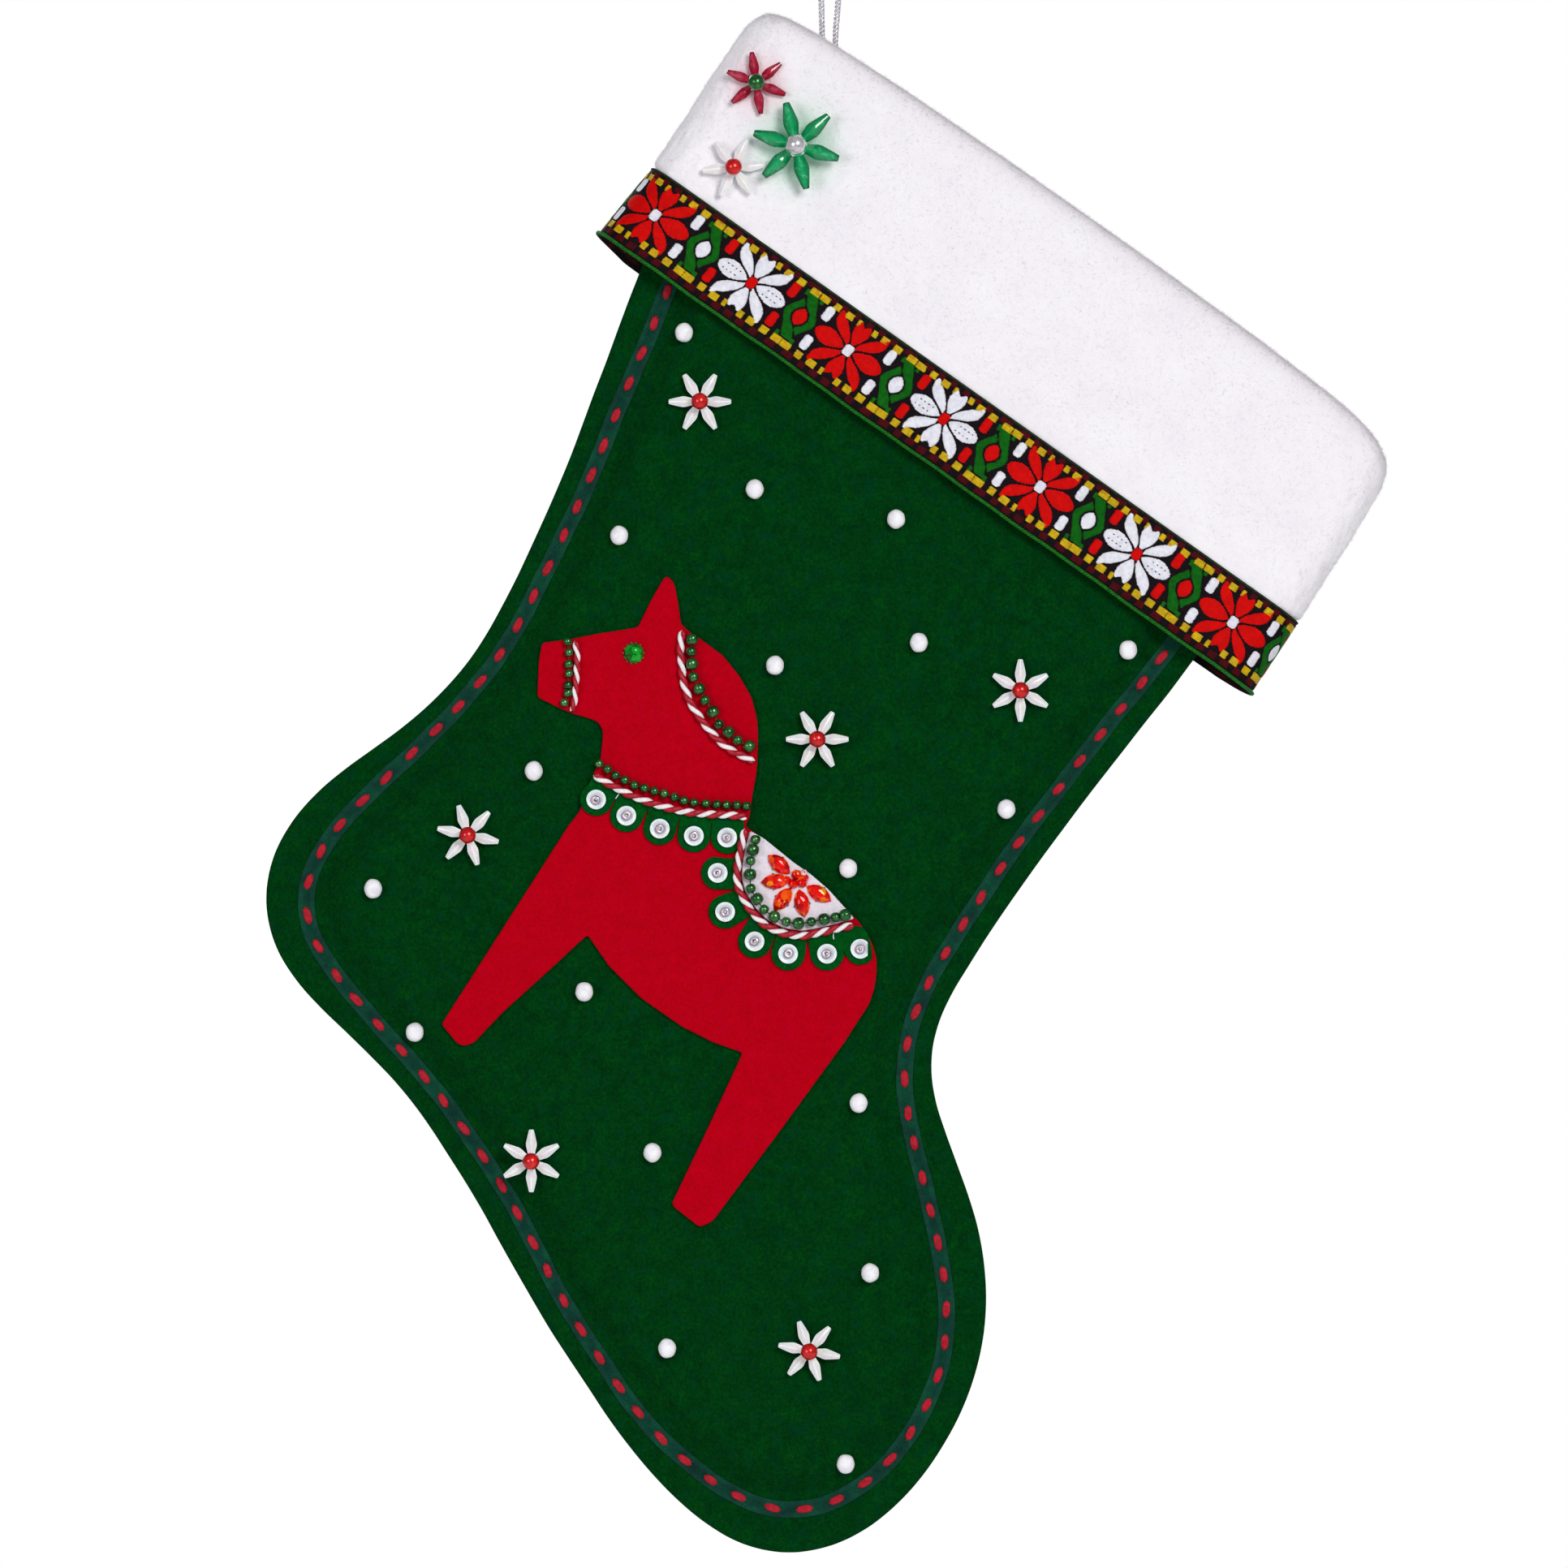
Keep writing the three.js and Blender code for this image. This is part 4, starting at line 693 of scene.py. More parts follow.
def twist(acc, P, lead, sign, strands, r_strand, r_helix, sides=12, up=(0, -1, 0), lobes=5, mats=(0, 1), depth=0.09, ease=True):
    """a cord of strands twisted round the path P"""
    T, N1, N2 = frames(P, up)
    s = np.concatenate([[0], np.cumsum(np.linalg.norm(np.diff(P, axis=0), axis=1))])
    for k in range(strands):
        ph = sign * TAU * s / lead + TAU * k / strands
        c, sn = np.cos(ph)[:, None], np.sin(ph)[:, None]
        out = c * N1 + sn * N2
        taper = np.ones(len(s))
        if ease:
            taper = 0.35 + 0.65 * smooth01(np.minimum(s, s[-1] - s) / (np.max(r_strand) * 1.2))
        a = TAU * np.arange(sides) / sides
        r = (r_strand if np.isscalar(r_strand) else r_strand[k]) * taper[:, None] * (1 + depth * np.cos(lobes * (a[None, :] + sign * 2.2 * TAU * s[:, None] / lead)))
        v, f = tube(P + r_helix * out, r, sides, up=out)
        acc.add(v, f, mats[k % len(mats)])


def with_y(P2, y):
    P2 = np.asarray(P2, float)
    yy = np.broadcast_to(np.asarray(y, float), (len(P2),))
    return np.stack([P2[:, 0], yy + drape(P2[:, 0], P2[:, 1]), P2[:, 1]], 1)


# ------------------------------------------------------------------ hanging loop: a free cord, first
loop_xz = crom([[-2.05, -82.4]] + LOOP + [[1.72, -84.8]], 0.3)
loop_path = np.stack([loop_xz[:, 0], np.zeros(len(loop_xz)), loop_xz[:, 1]], 1)
loop_acc = Acc()
twist(loop_acc, loop_path, 3.6, -1, 3, 0.5, 0.46, sides=10, lobes=4, mats=(0,), depth=0.1)
loop_obj = loop_acc.mesh("silver_loop_cord", [M_METAL])
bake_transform(loop_obj)
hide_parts("hanging_loop")

# ------------------------------------------------------------------ felt panels
seam3 = crom(SEAM, 1.5)
seam = seam3[:, :2]
seam_w = seam3[:, 2]
st = np.gradient(seam, axis=0)
st /= np.linalg.norm(st, axis=1)[:, None]
st[:3] = (-V[0], -V[1])
st[-3:] = (V[0], V[1])
seam_n = np.stack([-st[:, 1], st[:, 0]], 1)
SEAM_LEN = float(np.linalg.norm(np.diff(seam, axis=0), axis=1).sum())
STITCH = 9.8


def panel_points():
    outline = seam - seam_n * seam_w[:, None]
    outline = resample(np.vstack([outline, resample(np.vstack([outline[-1], outline[0]]), 1.5)[1:-1]]), 1.5, True)
    rings = []
    for d in (-2.9, -1.8, -0.6, 0.6, 1.8, 2.7, 3.3, 4.0, 4.8, 5.7, 6.7, 7.8, 9.0, 10.2, 11.4, 12.6, 14.2):
        q = seam[:: (1 if d < 5 else 2)] + seam_n[:: (1 if d < 5 else 2)] * d
        dd, sg, _ = dist(q, seam[::2])
        rings.append(q[np.abs(dd * sg - d) < 0.25])
    extra = np.vstack(rings)

    def middle(g):
        dd, sg, _ = dist(g, seam[::3])
        return (dd * sg > 15.8) | (dd * sg < -4.2)

    P, F, edge = flat_cut(outline, [0.12, 0.35, 0.75, 1.5], 3.2, extra, middle)
    dd, sg, al = dist(P, seam)
    return P, F, edge, dd * sg, al, outline


PP, PF, PEDGE, PD, PS, panel_outline = panel_points()


def seam_pucker(d, s):
    """the felt is pulled down at each running stitch of the seam"""
    return 0.2 * np.exp(-((d / 3.2) ** 2)) * (0.5 + 0.5 * np.cos(TAU * s / STITCH)) - 0.22 * np.exp(-(((d - 6.5) / 3.5) ** 2)) * (0.4 + 0.6 * np.cos(TAU * s / STITCH + 0.4))


p_dr = drape(PP[:, 0], PP[:, 1])
p_h = puff(PD)
fine = 0.05 * ripple(PP[:, 0], PP[:, 1], 6.0, 31, 14)
pk = seam_pucker(PD, PS)
front_y = -(p_h + FELT_T) + p_dr + pk + edge_drop(PEDGE, 0.7) + fine
front_in = -(p_h - 0.13) + p_dr
acc = Acc()
add_cloth(acc, PP, PF, front_y, front_in)
front_felt = put(acc.mesh("front_felt", [M_GREEN, M_GREEN]), nodes=["front_panel"])
acc = Acc()
add_cloth(acc, PP, PF, p_h - 0.13 + p_dr, p_h + FELT_T + p_dr - 0.6 * pk - edge_drop(PEDGE, 0.7) + 0.05 * ripple(PP[:, 0], PP[:, 1], 6.0, 32, 14))
back_felt = put(acc.mesh("back_felt", [M_GREEN, M_GREEN]), nodes=["back_panel"])


def on_front(x, z, extra=0.0):
    """y of the front felt's outer face"""
    q = np.stack([np.atleast_1d(x), np.atleast_1d(z)], 1).astype(float)
    d, sg, _ = dist(q, seam[::2])
    return -(puff(d * sg) + FELT_T + extra) + drape(q[:, 0], q[:, 1])


# ------------------------------------------------------------------ seam ribbon and its stitches
def grosgrain():
    rows = crom(SEAM, 0.28)[:, :2]
    t = np.gradient(rows, axis=0)
    t /= np.linalg.norm(t, axis=1)[:, None]
    k = 9
    t = np.stack([np.convolve(np.pad(t[:, i], k // 2, mode="edge"), np.ones(k) / k, "valid") for i in (0, 1)], 1)
    t /= np.linalg.norm(t, axis=1)[:, None]
    nrm = np.stack([-t[:, 1], t[:, 0]], 1)
    s = np.arange(len(rows)) * 0.28
    offs = np.array([-2.5, -2.42, -1.7, -0.9, 0, 0.9, 1.7, 2.42, 2.5])
    rib = np.where(np.arange(len(rows)) % 2 == 0, 0.11, -0.05)
    wob = 0.1 * np.sin(s / 7.0) + 0.06 * np.sin(s / 2.9 + 1)
    v = []
    for j, o in enumerate(offs):
        q = rows + nrm * (o + wob * (1 if j < 8 else 1))[:, None]
        edge = j in (0, 8)
        y = -(FLANGE_H + FELT_T) + drape(q[:, 0], q[:, 1]) + seam_pucker(o, s)
        lift = 0.04 if edge else 0.32 + (0.04 if j in (1, 7) else rib)
        v.append(np.stack([q[:, 0], y - lift, q[:, 1]], 1))
    for o in (2.3, -2.3):
        q = rows + nrm * (o + wob)[:, None]
        v.append(np.stack([q[:, 0], -(FLANGE_H + FELT_T) + drape(q[:, 0], q[:, 1]) + seam_pucker(o, s) + 0.12, q[:, 1]], 1))
    m, n = len(v), len(rows)
    Vx = np.stack(v, 1).reshape(-1, 3)
    i = np.arange(n - 1)[:, None]
    c = np.arange(m)[None, :]
    q = np.stack([i * m + c, i * m + (c + 1) % m, (i + 1) * m + (c + 1) % m, (i + 1) * m + c], -1).reshape(-1, 4)
    return Vx, [q, np.array([np.arange(m)[::-1], (n - 1) * m + np.arange(m)])]


acc = Acc()
v, f = grosgrain()
acc.add(v, f)
put(acc.mesh("seam_grosgrain", [M_GROSGRAIN], angle=50), nodes=["seam_ribbon"])


def seam_at(s):
    cum = np.concatenate([[0], np.cumsum(np.linalg.norm(np.diff(seam, axis=0), axis=1))])
    x = np.interp(s, cum, seam[:, 0])
    z = np.interp(s, cum, seam[:, 1])
    tx = np.interp(s, cum, st[:, 0])
    tz = np.interp(s, cum, st[:, 1])
    ln = np.hypot(tx, tz)
    return x, z, tx / ln, tz / ln


acc, acc2 = Acc(), Acc()
r = np.random.default_rng(5)
k = 0
while STITCH * k + 4 < SEAM_LEN:
    s0 = STITCH * k + 2.0 + r.uniform(-0.5, 0.5)
    tilt = r.uniform(-0.12, 0.12)
    x, z, tx, tz = seam_at(s0)
    length, width = 5.2 + r.uniform(-0.5, 0.4), 1.22
    t = np.linspace(-0.5, 0.5, 13)
    for strand in (-1, 0, 1):
        off = strand * 0.62
        along = t * (length - abs(strand) * 0.8)
        px = x + tx * along + (-tz) * (off * np.sqrt(1 - (1.8 * t) ** 2 * 0.95) + tilt * along)
        pz = z + tz * along + tx * (off * np.sqrt(1 - (1.8 * t) ** 2 * 0.95) + tilt * along)
        h = (0.45 - 0.1 * abs(strand)) * np.sqrt(np.maximum(1 - (2 * t) ** 4, 0.0)) - 0.25
        P = np.stack([px, -(FLANGE_H + FELT_T + 0.32 + h) + drape(px, pz) + 0.1, pz], 1)
        v, f = tube(P, 0.52 * np.sqrt(np.maximum(1 - (2 * t) ** 4, 0.08)), 10, flat=0.8)
        acc.add(v, f)
    along = t * 4.0
    sb = s0 + STITCH / 2
    if sb < SEAM_LEN - 3:
        x, z, tx, tz = seam_at(sb)
        px, pz = x + tx * along, z + tz * along
        h = 0.3 * np.sqrt(np.maximum(1 - (2 * t) ** 4, 0.0)) - 0.2
        P = np.stack([px, FLANGE_H + FELT_T + h + drape(px, pz) - 0.1, pz], 1)
        v, f = tube(P, 0.42 * np.sqrt(np.maximum(1 - (2 * t) ** 4, 0.1)), 10)
        acc2.add(v, f)
    k += 1
put(acc.mesh("seam_stitches", [M_STITCH_RED]))
put(acc2.mesh("back_stitches", [M_STITCH_RED]))

# ------------------------------------------------------------------ cuff
TOP = np.array([[-1.6, 51.0], [-0.4, 53.6], [1.4, 55.8], [4.0, 57.1], [7.3, 57.9], [16, 59.1], [30, 59.8], [48.7, 60.6], [89, 61.2], [130, 61.3], [177, 60.7], [205.6, 59.6], [213, 58.9], [219, 57.8], [224.2, 56.2], [228.6, 53.6], [230.8, 50.6], [232, 47.0]])


def oval(uL, uR, depth, endR, straight=170, ends=44):
    i = np.arange(straight) / straight
    e = np.pi * np.arange(ends) / ends
    u = np.concatenate([uL + endR + (uR - uL - 2 * endR) * i, uR - endR + endR * np.sin(e), uR - endR - (uR - uL - 2 * endR) * i, uL + endR - endR * np.sin(e)])
    y = np.concatenate([np.full(straight, -depth), -depth * np.cos(e), np.full(straight, depth), depth * np.cos(e)])
    share = np.concatenate([np.zeros(straight), np.arange(ends) / ends, np.ones(straight), 1 - np.arange(ends) / ends])
    return u, y, share


def side_fit(u, v):
    """the cuff's side folds lean a little: left edge and right edge by height"""
    left = np.interp(v, [-26, 0, 17.4, 33.3, 43.6, 53], [-2.6, -0.7, -0.9, -1.7, -1.9, -1.4])
    right = np.interp(v, [-26, 0, 25.5, 46, 60], [232.6, 231.9, 230.8, 229.4, 227.5])
    t = (u - UL) / (UR - UL)
    return left + (right - left) * t


def cuff_mesh():
    O = oval(UL, UR, WALL_OUT + 0.1, 11.0)
    OI = oval(UL + 2.5, UR - 2.5, WALL_IN, 8.5)
    Fo = oval(24.3, 200.3, FACE_OUT, 13.5)
    Fi = oval(25.8, 198.8, FACE_IN, 12.0)
    O3 = oval(UL + 1.9, UR - 1.5, WALL_OUT - 0.15, 10.0)
    vb = BOTTOM - DROP * O[2] + 3.4
    vtop = lambda u: np.interp(u, TOP[:, 0], TOP[:, 1])
    top = vtop(O[0]) + 1.2
    rows = []
    out_n = 62
    for j in range(out_n):
        t = j / (out_n - 1)
        v = vb + (vtop(O[0]) - 3.0 - vb) * t
        bulge = 0.35 * np.sin(np.pi * np.clip((v - 1.5) / 57, 0, 1)) ** 0.7
        under = smooth01((1.2 - v) / 2.4)
        rows.append((O[0] + (O3[0] - O[0]) * under, O[1] + (O3[1] - O[1]) * under + np.sign(O[1]) * bulge, v))
    RR = 3.0
    O2 = oval(UL + RR, UR - RR, WALL_OUT + 0.1 - RR, 11.0 - RR)
    for a in np.linspace(0.08, 1.0, 13):
        q = a * np.pi / 2
        k = 1 - np.cos(q)
        uu = O[0] + (O2[0] - O[0]) * k
        rows.append((uu, (O[1] + np.sign(O[1]) * 0.0) + (O2[1] - O[1]) * k, vtop(uu) - RR + RR * np.sin(q)))
    for k in np.linspace(0.1, 1, 10):
        uu = O2[0] + (Fi[0] - O2[0]) * k
        rows.append((uu, O2[1] + (Fi[1] - O2[1]) * k, vtop(uu) - 3.4 * k * k))
    vin = vtop(Fi[0]) - 3.4
    for t in np.linspace(0.08, 1, 12):
        rows.append((Fi[0], Fi[1], vin * (1 - t) + FACING_BOTTOM * t))
    rows.append(((Fi[0] + Fo[0]) / 2, (Fi[1] + Fo[1]) / 2, np.full(len(top), FACING_BOTTOM - 0.4)))
    for t in np.linspace(0, 1, 5):
        rows.append((Fo[0], Fo[1], FACING_BOTTOM * (1 - t) + (vin - 0.4) * t))
    for t in np.linspace(0, 1, 12):
        rows.append((OI[0], OI[1], (vtop(OI[0]) - 4.2) * (1 - t) + vb * t))
    rows.append(((OI[0] + O[0]) / 2, (OI[1] + O[1]) / 2, vb - 0.35))
    m, n = len(rows), len(top)
    Uu = np.stack([side_fit(q[0], q[2]) for q in rows], 1)
    Yy = np.stack([q[1] for q in rows], 1)
    Vv = np.stack([q[2] for q in rows], 1)
    X, Z = uv_xz(Uu, Vv)
    # soft unevenness of the fleece, pushed outward from the outer wall and the roll
    nx = np.stack([np.gradient(Yy[:, j]) for j in range(m)], 1)
    tu = np.stack([np.gradient(Uu[:, j]) for j in range(m)], 1)
    ln = np.hypot(nx, tu) + 1e-9
    nu, ny = nx / ln, -tu / ln
    per = np.arange(n)[:, None] * 1.05 + np.zeros((1, m))
    soft = 0.16 * ripple(per, Vv, 9.0, 51, 22) + 0.1 * ripple(per, Vv, 3.6, 52, 26) + 0.22 * ripple(per, Vv, 30.0, 53, 10)
    mask = np.zeros(m)
    mask[2:out_n + 18] = 1
    mask[out_n + 12:out_n + 18] = 0.5
    soft = np.where((ny > -0.4) & (ny < 0.4), soft * 0.6, soft) * mask * 0.8
    X = X + (U[0] * nu) * soft
    Z = Z + (U[1] * nu) * soft
    Yy = Yy + ny * soft + drape(X, Z)
    Vx = np.stack([X, Yy, Z], -1).reshape(-1, 3)
    i = np.arange(n)[:, None]
    c = np.arange(m)[None, :]
    q = np.stack([i * m + c, i * m + (c + 1) % m, ((i + 1) % n) * m + (c + 1) % m, ((i + 1) % n) * m + c], -1).reshape(-1, 4)
    # light that comes through the two clear stars colours the fleece round them
    g = np.zeros((len(Vx), 3))
    for x, z, _, reach, label in STARS:
        if label in ("cuff_2", "cuff_3"):
            d = np.hypot(Vx[:, 0] - x, Vx[:, 2] - z)
            w = np.where(Vx[:, 1] < -6, np.exp(-((d / (reach * 0.82)) ** 2.4)), 0)
            g[:, 0 if label == "cuff_2" else 1] += w * (0.3 if label == "cuff_2" else 0.42)
    # painted shade: the z channel greys the fleece towards its rolled top edge, where it curves away from the light,
    # and only faintly from near the crest of the roll inward
    depth = np.stack([vtop(q[0]) - q[2] for q in rows], 1).ravel()
    fade = np.ones(m)
    fade[out_n + 9:] = 0.15
    g[:, 2] = 0.85 * np.exp(-np.clip(depth, 0, None) / 2.4) * np.tile(fade, n)
    return Vx, [q], g


acc = Acc()
v, f, g = cuff_mesh()
acc.add(v, f, attr=g)
cuff_obj = put(acc.mesh("cuff_fleece", [M_FLEECE], attr_name="painted_glow_and_shade"), nodes=["cuff"])


def fibres(count, n, m, first_row, last_row, seed):
    """short curved fibres standing off the fleece"""
    G = v.reshape(n, m, 3)
    r4 = np.random.default_rng(seed)
    i = r4.integers(0, n, count)
    j = r4.uniform(first_row, last_row, count)
    jj = j.astype(int)
    fi, fj = r4.random(count)[:, None], (j - jj)[:, None]
    i2 = (i + 1) % n
    base = (G[i, jj] * (1 - fi) + G[i2, jj] * fi) * (1 - fj) + (G[i, jj + 1] * (1 - fi) + G[i2, jj + 1] * fi) * fj
    nrm = np.cross(G[i2, jj] - G[i, jj], G[i, jj + 1] - G[i, jj])
    nrm /= np.linalg.norm(nrm, axis=1)[:, None] + 1e-12
    cx, cz = uv_xz(115.0, 25.0)
    nrm *= np.sign(((base - (cx, 0, cz)) * nrm).sum(1))[:, None]
    t = np.cross(nrm, r4.normal(size=(count, 3)))
    t /= np.linalg.norm(t, axis=1)[:, None]
    L = r4.uniform(0.5, 1.35, count)[:, None]
    b = np.cross(nrm, t)
    P = [base - 0.1 * nrm, base + L * (0.3 * nrm + 0.4 * t), base + L * (0.38 * nrm + 0.95 * t)]
    c2 = [t, (t - nrm) * 0.7, nrm]
    out = []
    for p, q, rad in zip(P, c2, (0.03, 0.026, 0.012)):
        for a in (0, TAU / 3, 2 * TAU / 3):
            out.append(p + rad * (math.cos(a) * b + math.sin(a) * q))
    Vx = np.stack(out, 1).reshape(-1, 3)
    o = (np.arange(count) * 9)[:, None]
    quads = [o + np.array([[3 * k + a, 3 * k + (a + 1) % 3, 3 * k + 3 + (a + 1) % 3, 3 * k + 3 + a]]) for k in (0, 1) for a in range(3)]
    caps = [o + np.array([[2, 1, 0]]), o + np.array([[6, 7, 8]])]
    fa = Acc()
    # the fibres carry the fleece's painted light and shade from the spot they stand on
    fa.add(Vx, [np.vstack(quads), np.vstack(caps)], attr=np.repeat(g[i * m + jj], 9, axis=0))
    return fa


ring_n = 2 * (170 + 44)
fuzz = put(fibres(24000, ring_n, len(v) // ring_n, 18, 62 + 18, 8).mesh("cuff_fibres", [M_FLEECE], attr_name="painted_glow_and_shade"))

# ------------------------------------------------------------------ woven band: ground, then every motif in raised thread
B_OUT = WALL_OUT + 0.55
BAND_R = 10.5
su, sy, ss = oval(UL - 0.3, UR + 0.3, 1.0, BAND_R, straight=800, ends=300)
order = np.argsort(np.abs(su - (UL - 0.3 + BAND_R)) + np.where(sy < 0, 0, 1e3))[0]


def band_table(depth):
    u, y, s = oval(UL + 0.5, UR - 0.2, depth, BAND_R, straight=600, ends=240)
    s = s ** 2.4
    u = np.append(u, u[0]); y = np.append(y, y[0]); s = np.append(s, 0.0)
    L = np.concatenate([[0], np.cumsum(np.hypot(np.diff(u), np.diff(y)))])
    nu, ny = np.gradient(y), -np.gradient(u)
    ln = np.hypot(nu, ny)
    return u, y, s, L + u[0], nu / ln, ny / ln


BT = band_table(B_OUT)
BAND_L = float(BT[3][-1] - BT[3][0])
P_START = float(BT[3][0])


def band_point(p, v, lift):
    """p runs along the band (p = u on the front), v across it, lift outward from its ground"""
    q = P_START + np.mod(p - P_START, BAND_L)
    u = np.interp(q, BT[3], BT[0]); y = np.interp(q, BT[3], BT[1]); s = np.interp(q, BT[3], BT[2])
    nu = np.interp(q, BT[3], BT[4]); ny = np.interp(q, BT[3], BT[5])
    wave = 0.1 * np.sin(q / 8.3) + 0.07 * np.sin(q / 3.1 + 0.8)
    vv = v - DROP * s * (1 - 0.5 * (u - UL) / (UR - UL)) + wave * np.clip(-v / 25, 0, 1)
    sag = 0.12 * np.sin(q / 17.0 + 0.5)
    uu = side_fit(u + nu * (lift + sag), vv)
    x, z = uv_xz(uu, vv)
    return np.stack([x, y + ny * (lift + sag) + drape(x, z), z], -1)


JOIN = BAND_L + P_START - 46.0


def band_ground():
    n = int(BAND_L / 0.9)
    p = JOIN - BAND_L + np.arange(n) * (BAND_L / n)
    vs = np.concatenate([[-25.75, -25.7], np.linspace(-25.0, -0.6, 44), [-0.25, -0.2]])
    lift = np.full(len(vs), 0.0)
    lift[[0, -1]] = -0.28
    lift[1:-1] += np.where(np.arange(len(vs) - 2) % 2 == 0, 0.03, -0.03)
    Vx, A = [], []
    for v_, l_ in list(zip(vs, lift)) + [(-0.2, -0.42), (-25.75, -0.42)]:
        Vx.append(band_point(p, np.full(n, v_), l_))
        A.append(np.stack([p * MM, np.full(n, v_ * MM), np.zeros(n)], 1))
    m = len(Vx)
    Vx = np.stack(Vx, 1).reshape(-1, 3)
    A = np.stack(A, 1).reshape(-1, 3)
    i = np.arange(n)[:, None]
    c = np.arange(m)[None, :]
    q = np.stack([i * m + c, i * m + (c + 1) % m, ((i + 1) % n) * m + (c + 1) % m, ((i + 1) % n) * m + c], -1).reshape(-1, 4)
    acc = Acc()
    acc.add(Vx, [q], np.tile(np.arange(m) >= m - 3, n).astype(int), attr=A)
    return acc


ground = put(band_ground().mesh("band_ground", [M_GROUND, M_REVERSE], attr_name="pv"), nodes=["jacquard_ribbon"])

SIDE = [(1.6, 0), (2.6, 0.9), (4.2, 1.8), (5.8, 2.4), (7.3, 2.6), (8.8, 2.4), (10.2, 1.8), (11.2, 1.0), (11.6, 0), (11.2, -1.0), (10.2, -1.8), (8.8, -2.4), (7.3, -2.6), (5.8, -2.4), (4.2, -1.8), (2.6, -0.9)]
TALL = [(-0.4, 2), (-1.3, 3.4), (-2.1, 5), (-2.5, 6.5), (-2.3, 8), (-1.7, 9.5), (-0.8, 8.6), (0, 8.0), (0.8, 8.6), (1.7, 9.5), (2.3, 8), (2.5, 6.5), (2.1, 5), (1.3, 3.4), (0.4, 2)]
DIAG = [(-1.4, 2.5), (-2.3, 4.0), (-3.7, 5.6), (-5.2, 7.0), (-6.6, 7.7), (-7.2, 8.4), (-7.6, 8.95), (-8.3, 8.9), (-8.6, 8.0), (-8.5, 6.7), (-8.1, 5.4), (-7.2, 4.3), (-6.0, 3.4), (-4.5, 2.6), (-2.7, 1.8), (-1.4, 1.1)]
HEART = [(-1.35, -1.2), (-0.8, -1.7), (0.8, -1.7), (1.35, -1.2), (1.35, 1.2), (0.8, 1.7), (-0.8, 1.7), (-1.35, 1.2)]
LEAF = [(-2.2, 5.2), (-1.0, 4.2), (-0.7, 3.4), (-2.3, 1.8), (-2.9, -0.2), (-2.0, -2.2), (-0.3, -3.4), (0.9, -4.6), (1.7, -6.2), (2.6, -7.6), (-1.0, -7.6), (-1.8, -6.4), (-3.0, -4.0), (-4.4, -1.8), (-5.0, -0.6), (-4.9, 0.8), (-3.8, 2.6), (-3.0, 3.8)]
SEED_OVAL = [(0, 2.75), (0.9, 2.3), (1.7, 1.3), (2.1, 0), (1.7, -1.3), (0.9, -2.3), (0, -2.75), (-0.9, -2.3), (-1.7, -1.3), (-2.1, 0), (-1.7, 1.3), (-0.9, 2.3)]
BAR = [(-1.3, -1.7), (-0.7, -2.3), (0.7, -2.3), (1.3, -1.7), (1.3, 1.7), (0.7, 2.3), (-0.7, 2.3), (-1.3, 1.7)]
TICK = [(-0.5, -0.9), (0.5, -0.9), (0.5, 0.9), (-0.5, 0.9)]
YT = [(-19.4, -16.3), (-15.9, -12.9), (-11.1, -9.0), (-6.9, -4.4), (-2.7, -1.6), (2.6, 4.2), (5.8, 8.2), (10.2, 12.7)]
YB = [(-20.3, -17.4), (-17.2, -13.9), (-11.9, -9.7), (-7.8, -4.9), (-3.3, -2.1), (2.1, 3.9), (5.4, 7.9), (10.0, 12.5)]
CT = [(-21.2, -17.2), (-14.2, -10.9), (-9.2, -6.8), (-4.7, -2.7), (-0.2, 1.8), (3.8, 6.1), (8.0, 10.3)]
CB = [(-21.2, -17.9), (-15.2, -11.7), (-9.5, -7.2), (-5.4, -2.7), (-1.2, 1.5), (3.0, 5.8), (7.8, 10.2)]
threads = {"red": [], "white": [], "green": [], "yellow": [], "crimson": []}
jit = np.random.default_rng(77)


def fill(color, poly, cu, cv, pitch=0.36, dots=False, height=0.3, skew=0.0, overlap=0.12):
    """parallel satin threads along the band, clipped to a motif"""
    q = np.array(poly, float) + (cu, cv)
    lo, hi = q[:, 1].min(), q[:, 1].max()
    rows = max(1, int(round((hi - lo) / pitch)))
    pt = (hi - lo) / rows
    for i in range(rows):
        v = lo + (i + 0.5) * pt
        a, b = q, np.roll(q, -1, axis=0)
        hit = (a[:, 1] > v) != (b[:, 1] > v)
        xs = np.sort(a[hit, 0] + (v - a[hit, 1]) / (b[hit, 1] - a[hit, 1]) * (b[hit, 0] - a[hit, 0]))
        for p0, p1 in zip(xs[::2], xs[1::2]):
            parts = [(p0, p1)]
            if dots and (abs(abs(v - cv) - 0.85) < pt * 0.55):
                for du in (-9.2, -7.8, -6.4, -5.0, 5.0, 6.4, 7.8, 9.2):
                    c = cu + du + (0.35 if v > cv else -0.35)
                    parts = [s for (x, y) in parts for s in (((x, c - 0.3), (c + 0.3, y)) if x < c - 0.5 and y > c + 0.5 else ((x, y),))]
            for x, y in parts:
                if y - x > 0.25:
                    threads[color].append((x - overlap + jit.uniform(-0.1, 0.1), y + overlap + jit.uniform(-0.1, 0.1), v, pt, height))


def strands(items):
    """all threads of one colour as small closed half-round ribs; more stations where they go round a fold"""
    acc = Acc()
    A = np.array(items)
    A[:, 0] = np.maximum(A[:, 0], JOIN - BAND_L + 0.35)
    A[:, 1] = np.minimum(A[:, 1], JOIN - 0.35)
    A = A[A[:, 1] - A[:, 0] > 0.4]
    flat_front = (A[:, 0] > P_START) & (A[:, 1] < UR - BAND_R)
    for group, extra in ((A[flat_front], 0), (A[~flat_front], 8)):
        if len(group):
            one_group(acc, group, extra)
    return acc


